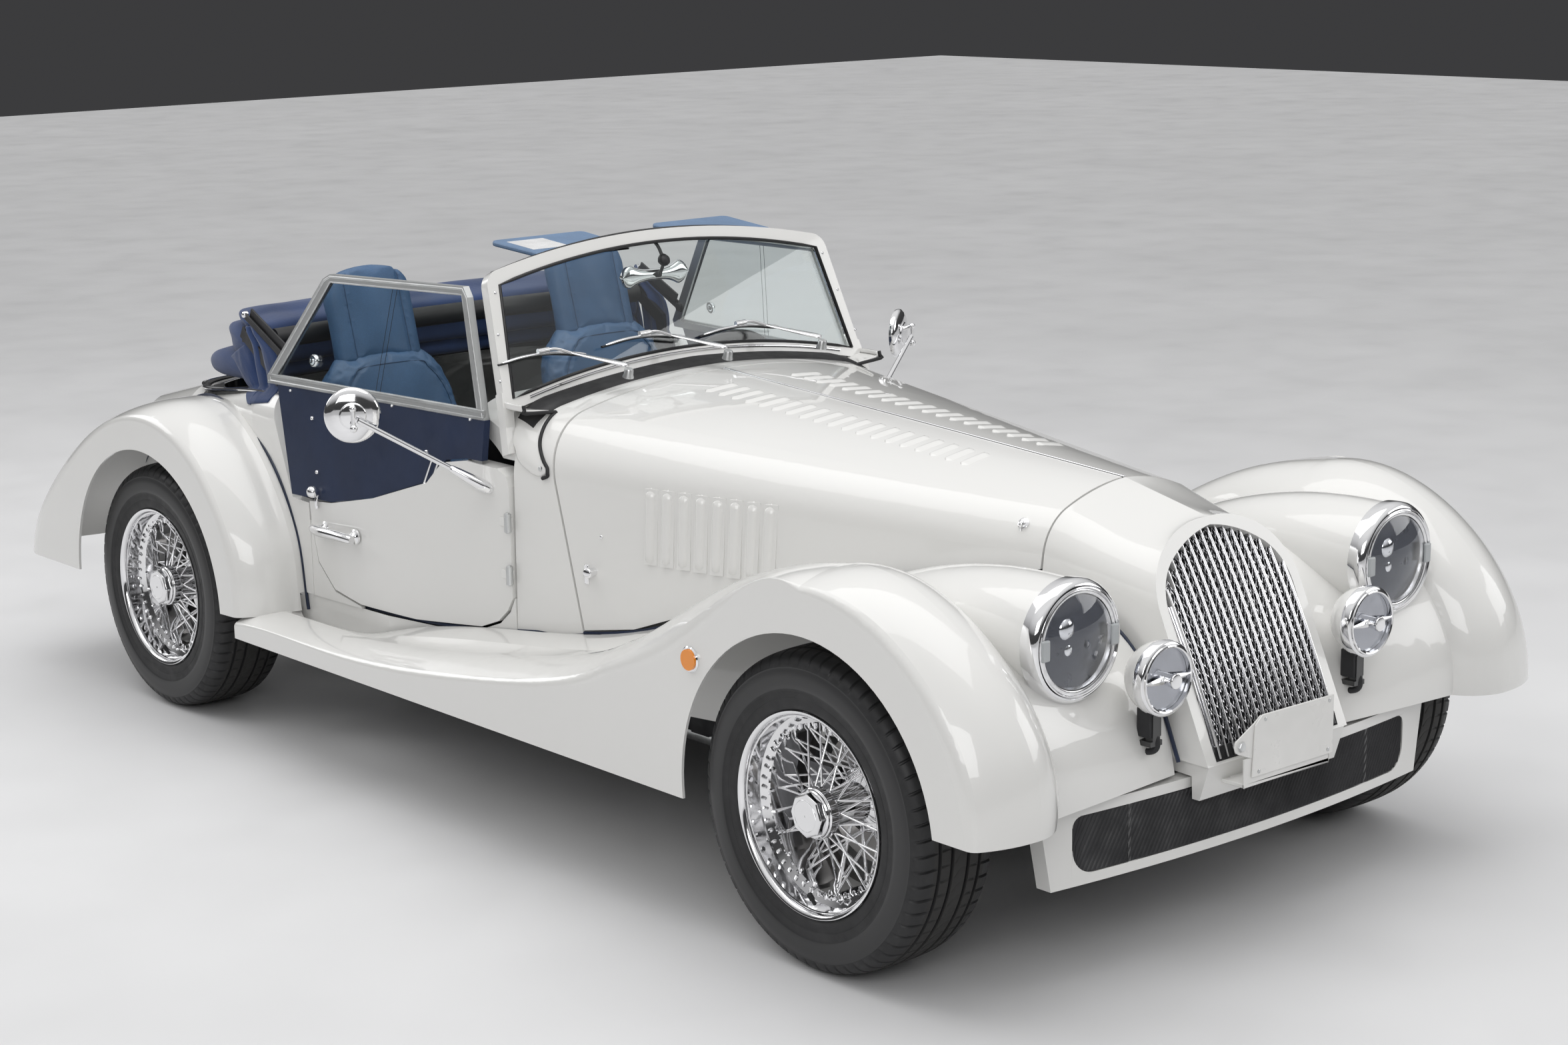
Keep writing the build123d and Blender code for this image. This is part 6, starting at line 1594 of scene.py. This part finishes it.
boards, visor_pins = [], []
for x, half in VISORS:
    boards.append(slab([on_board(x + px, py) for px, py in board_outline(half)], VISOR_UP * 0.012))
    ends = [on_board(x + reach, -0.004, 0.005) for reach in (-half + 0.02, half - 0.02)]
    visor_pins.append(tube(ends, 0.0045, 10))
card = slab([on_board(VISORS[0][0] + px, py, 0.0118) for px, py in VISOR_MIRROR], VISOR_UP * 0.0012)
piece("visor_boards", join(*boards), VISOR, slot="blue_leather", replaces=["sun_visors"], bevel=0.004)
# the visor's mirror is a pale grey plastic card, not a reflecting surface: its colour is a painted reflection
# of the bright light above
piece("visor_mirror", card, plastic("visor_mirror_painted_reflection", (0.8, 0.8, 0.8), 0.25).material, slot="bright_trim",
      bevel=0.0004)
bright("visor_pins", join(*visor_pins))

# ------------------------------ door opening's lower corners
# stations along the body's side and its half width at each
BODY_SIDE = ((-0.2, 0.535), (0.21, 0.624), (0.65, 0.652))
REAR_CORNER = [(0.5985, 0.556), (0.5745, 0.4555), (0.508, 0.3945), (0.403, 0.3745), (0.403, 0.37),
               (0.602, 0.37), (0.602, 0.556)]
FRONT_CORNER = [(-0.1075, 0.47), (-0.093, 0.4365), (-0.063, 0.407), (-0.012, 0.3875), (0.08, 0.38),
                (0.08, 0.37), (-0.11, 0.37)]


def body_half(y):
    """Half width of the body's side, on the parabola through its three stations."""
    total = 0.0
    for at, half in BODY_SIDE:
        share = 1.0
        for other, _ in BODY_SIDE:
            if other != at:
                share *= (y - other) / (at - other)
        total += half * share
    return total


fillers = [slab([(body_half(y) - 0.003, y, z) for y, z in outline], X * -0.01)
           for outline in (REAR_CORNER, FRONT_CORNER)]
piece("sill_corners", twice(join(*fillers)), PAINT, slot="body_paint")

# ------------------------------ bumper's black slot
SLOT_LOW, SLOT_HIGH, SLOT_HALF = 0.2235, 0.3345, 0.487
SLOT_SECTION = ((0.0008, SLOT_LOW), (0.0008, SLOT_HIGH), (0.0, SLOT_HIGH), (0.0, SLOT_LOW))
SLATS, SLAT_PITCH, SLAT_SLANT = 96, 0.011, 0.062


def on_bumper(x, z, out):
    return Vector((x, -1.787 + 0.045 * (x / 0.567) ** 2 - out, z))


rows = []
for k in range(61):
    x = -SLOT_HALF + 2 * SLOT_HALF * k / 60
    rows.append([on_bumper(x, z, out) for out, z in SLOT_SECTION])
slats = [grid(rows, closed=True, capped=True)]
for k in range(SLATS):
    x = -0.53 + SLAT_PITCH * k
    low, high = Vector((x, 0, SLOT_LOW + 0.001)), Vector((x + SLAT_SLANT, 0, SLOT_HIGH - 0.001))
    middles = [low.lerp(high, share) for share in (0.0, 0.5, 1.0)]
    line = [on_bumper(max(-0.484, min(0.484, p.x)), p.z, 0.001) for p in middles]
    if (line[-1] - line[0]).x > 0.012:
        slats.append(tube(line, 0.0022, 4))
piece("bumper_weave", join(*slats), MESH_BLACK, slot="black_mesh", angle=30)
corner_plates = []
for sign in (-1, 1):
    for z, up, reach in ((0.2225, 1, 0.05), (0.3355, -1, 0.02)):
        edge = [(sign * 0.491, z - up * 0.001)]
        edge += [(sign * (0.489 - reach + reach * sin(a)), z + up * (reach - reach * cos(a)))
                 for a in [pi / 2 * k / 8 for k in range(9)]]
        corner_plates.append(slab([on_bumper(x, height, 0.0035) for x, height in edge], Y * 0.005))
piece("bumper_corners", join(*corner_plates), PAINT, slot="body_paint")

# ------------------------------ number plates, left blank
PLATE_Y = -1.879
FRONT_PLATE = [(-0.131, 0.362), (0.108, 0.361), (0.108, 0.478), (-0.103, 0.48), (-0.124, 0.462),
               (-0.128, 0.398)]
EAR = [(-0.124, 0.396), (-0.168, 0.414), (-0.176, 0.42), (-0.179, 0.43), (-0.175, 0.44), (-0.122, 0.467),
       (-0.104, 0.479)]
PLATE_SCREWS = ((-0.095, 0.47), (0.094, 0.469), (0.092, 0.371), (-0.112, 0.371))
SCREW_HEAD = [(-0.001, 0.0042), (0.0006, 0.0042), (0.0014, 0.003), (0.001, 0.0008)]
EAR_BOLT = [(-0.012, 0.0105), (0.002, 0.0105), (0.0045, 0.0085), (0.005, 0.003)]
REAR_PLATE_HALF, REAR_PLATE_LOW, REAR_PLATE_HIGH = 0.26, 0.311, 0.373

rear_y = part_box("number_plates")[1][1]
plates = [slab([(x, PLATE_Y, z) for x, z in FRONT_PLATE], Y * 0.0035),
          slab([(x, PLATE_Y + 0.0036, z) for x, z in EAR], Y * 0.003),
          brick((-0.15, PLATE_Y + 0.004, 0.344), (0.1, -1.8, 0.352)),
          brick((-0.15, PLATE_Y + 0.004, 0.344), (0.1, PLATE_Y + 0.008, 0.4)),
          brick((-REAR_PLATE_HALF, rear_y - 0.005, REAR_PLATE_LOW),
                (REAR_PLATE_HALF, rear_y, REAR_PLATE_HIGH))]
piece("plate_blanks", join(*plates), plastic("plate_paint", PEARL, 0.3, coat_weight=0.6).material,
      slot="plate_white", replaces=["number_plates"], bevel=0.0012)
screws = [turned(SCREW_HEAD, (x, PLATE_Y, z), -Y, 12) for x, z in PLATE_SCREWS]
screws.append(turned(EAR_BOLT, (-0.16, PLATE_Y + 0.003, 0.428), -Y, 6))
piece("plate_screws", join(*screws), SATIN, slot="bright_trim", angle=40)

# ------------------------------ floor and light
def floor_finish():
    f = Finish("floor_paint", (0.74, 0.74, 0.745), 0.5)
    f.vary(f.noise(0.7, 4), 0.96, 1.04)
    f.worn(f.noise(3, 4), 0.42, 0.62)
    return f.bump(f.noise(40, 3), 0.05, 0.002).material


bpy.ops.mesh.primitive_grid_add(x_subdivisions=40, y_subdivisions=40, size=44)
floor = bpy.context.object
floor.name = "floor"
floor.data.materials.append(floor_finish())
floor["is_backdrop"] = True

# name, place, point aimed at, size, watts
LIGHTS = (("overhead", (-0.6, -0.4, 4.6), (0, 0, 0.4), (6.5, 3.2), 95),
          ("front_left", (-4.6, -4.8, 3.0), (0, -0.6, 0.5), (3.2, 2.2), 70),
          ("right_fill", (4.4, -4.4, 2.6), (0, -0.8, 0.5), (3.0, 2.0), 42),
          ("rear", (-2.5, 5.2, 3.2), (0, 0.6, 0.6), (3.5, 1.8), 48))
for name, spot, aim, size, power in LIGHTS:
    lamp = bpy.data.lights.new(name, "AREA")
    lamp.shape = "RECTANGLE"
    lamp.size, lamp.size_y = size
    lamp.energy = power
    made = bpy.data.objects.new(name, lamp)
    towards = (Vector(aim) - Vector(spot)).to_track_quat("-Z", "Y")
    made.matrix_world = Matrix.Translation(spot) @ towards.to_matrix().to_4x4()
    scene.collection.objects.link(made)

world = bpy.data.worlds.new("studio")
scene.world = world
world.use_nodes = True
tree = world.node_tree
sky = tree.nodes["Background"]
sky.inputs[1].default_value = 1.0
coords = tree.nodes.new("ShaderNodeTexCoord")
axes = tree.nodes.new("ShaderNodeSeparateXYZ")
tree.links.new(coords.outputs["Generated"], axes.inputs[0])
ramp = tree.nodes.new("ShaderNodeValToRGB")
tree.links.new(axes.outputs[2], ramp.inputs[0])
stops = ramp.color_ramp.elements
stops[0].position, stops[0].color = 0.0, (0.045, 0.045, 0.047, 1)
stops[1].position, stops[1].color = 0.75, (0.82, 0.82, 0.82, 1)
for position, grey in ((0.22, 0.06), (0.32, 0.32), (0.5, 0.62)):
    stop = stops.new(position)
    stop.color = (grey, grey, grey * 1.01, 1)
tree.links.new(ramp.outputs[0], sky.inputs[0])

# ------------------------------ sizes
def corners(box):
    return [list(corner) for corner in box]


{"cad": corners(cad_box), "visual": corners(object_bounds())}
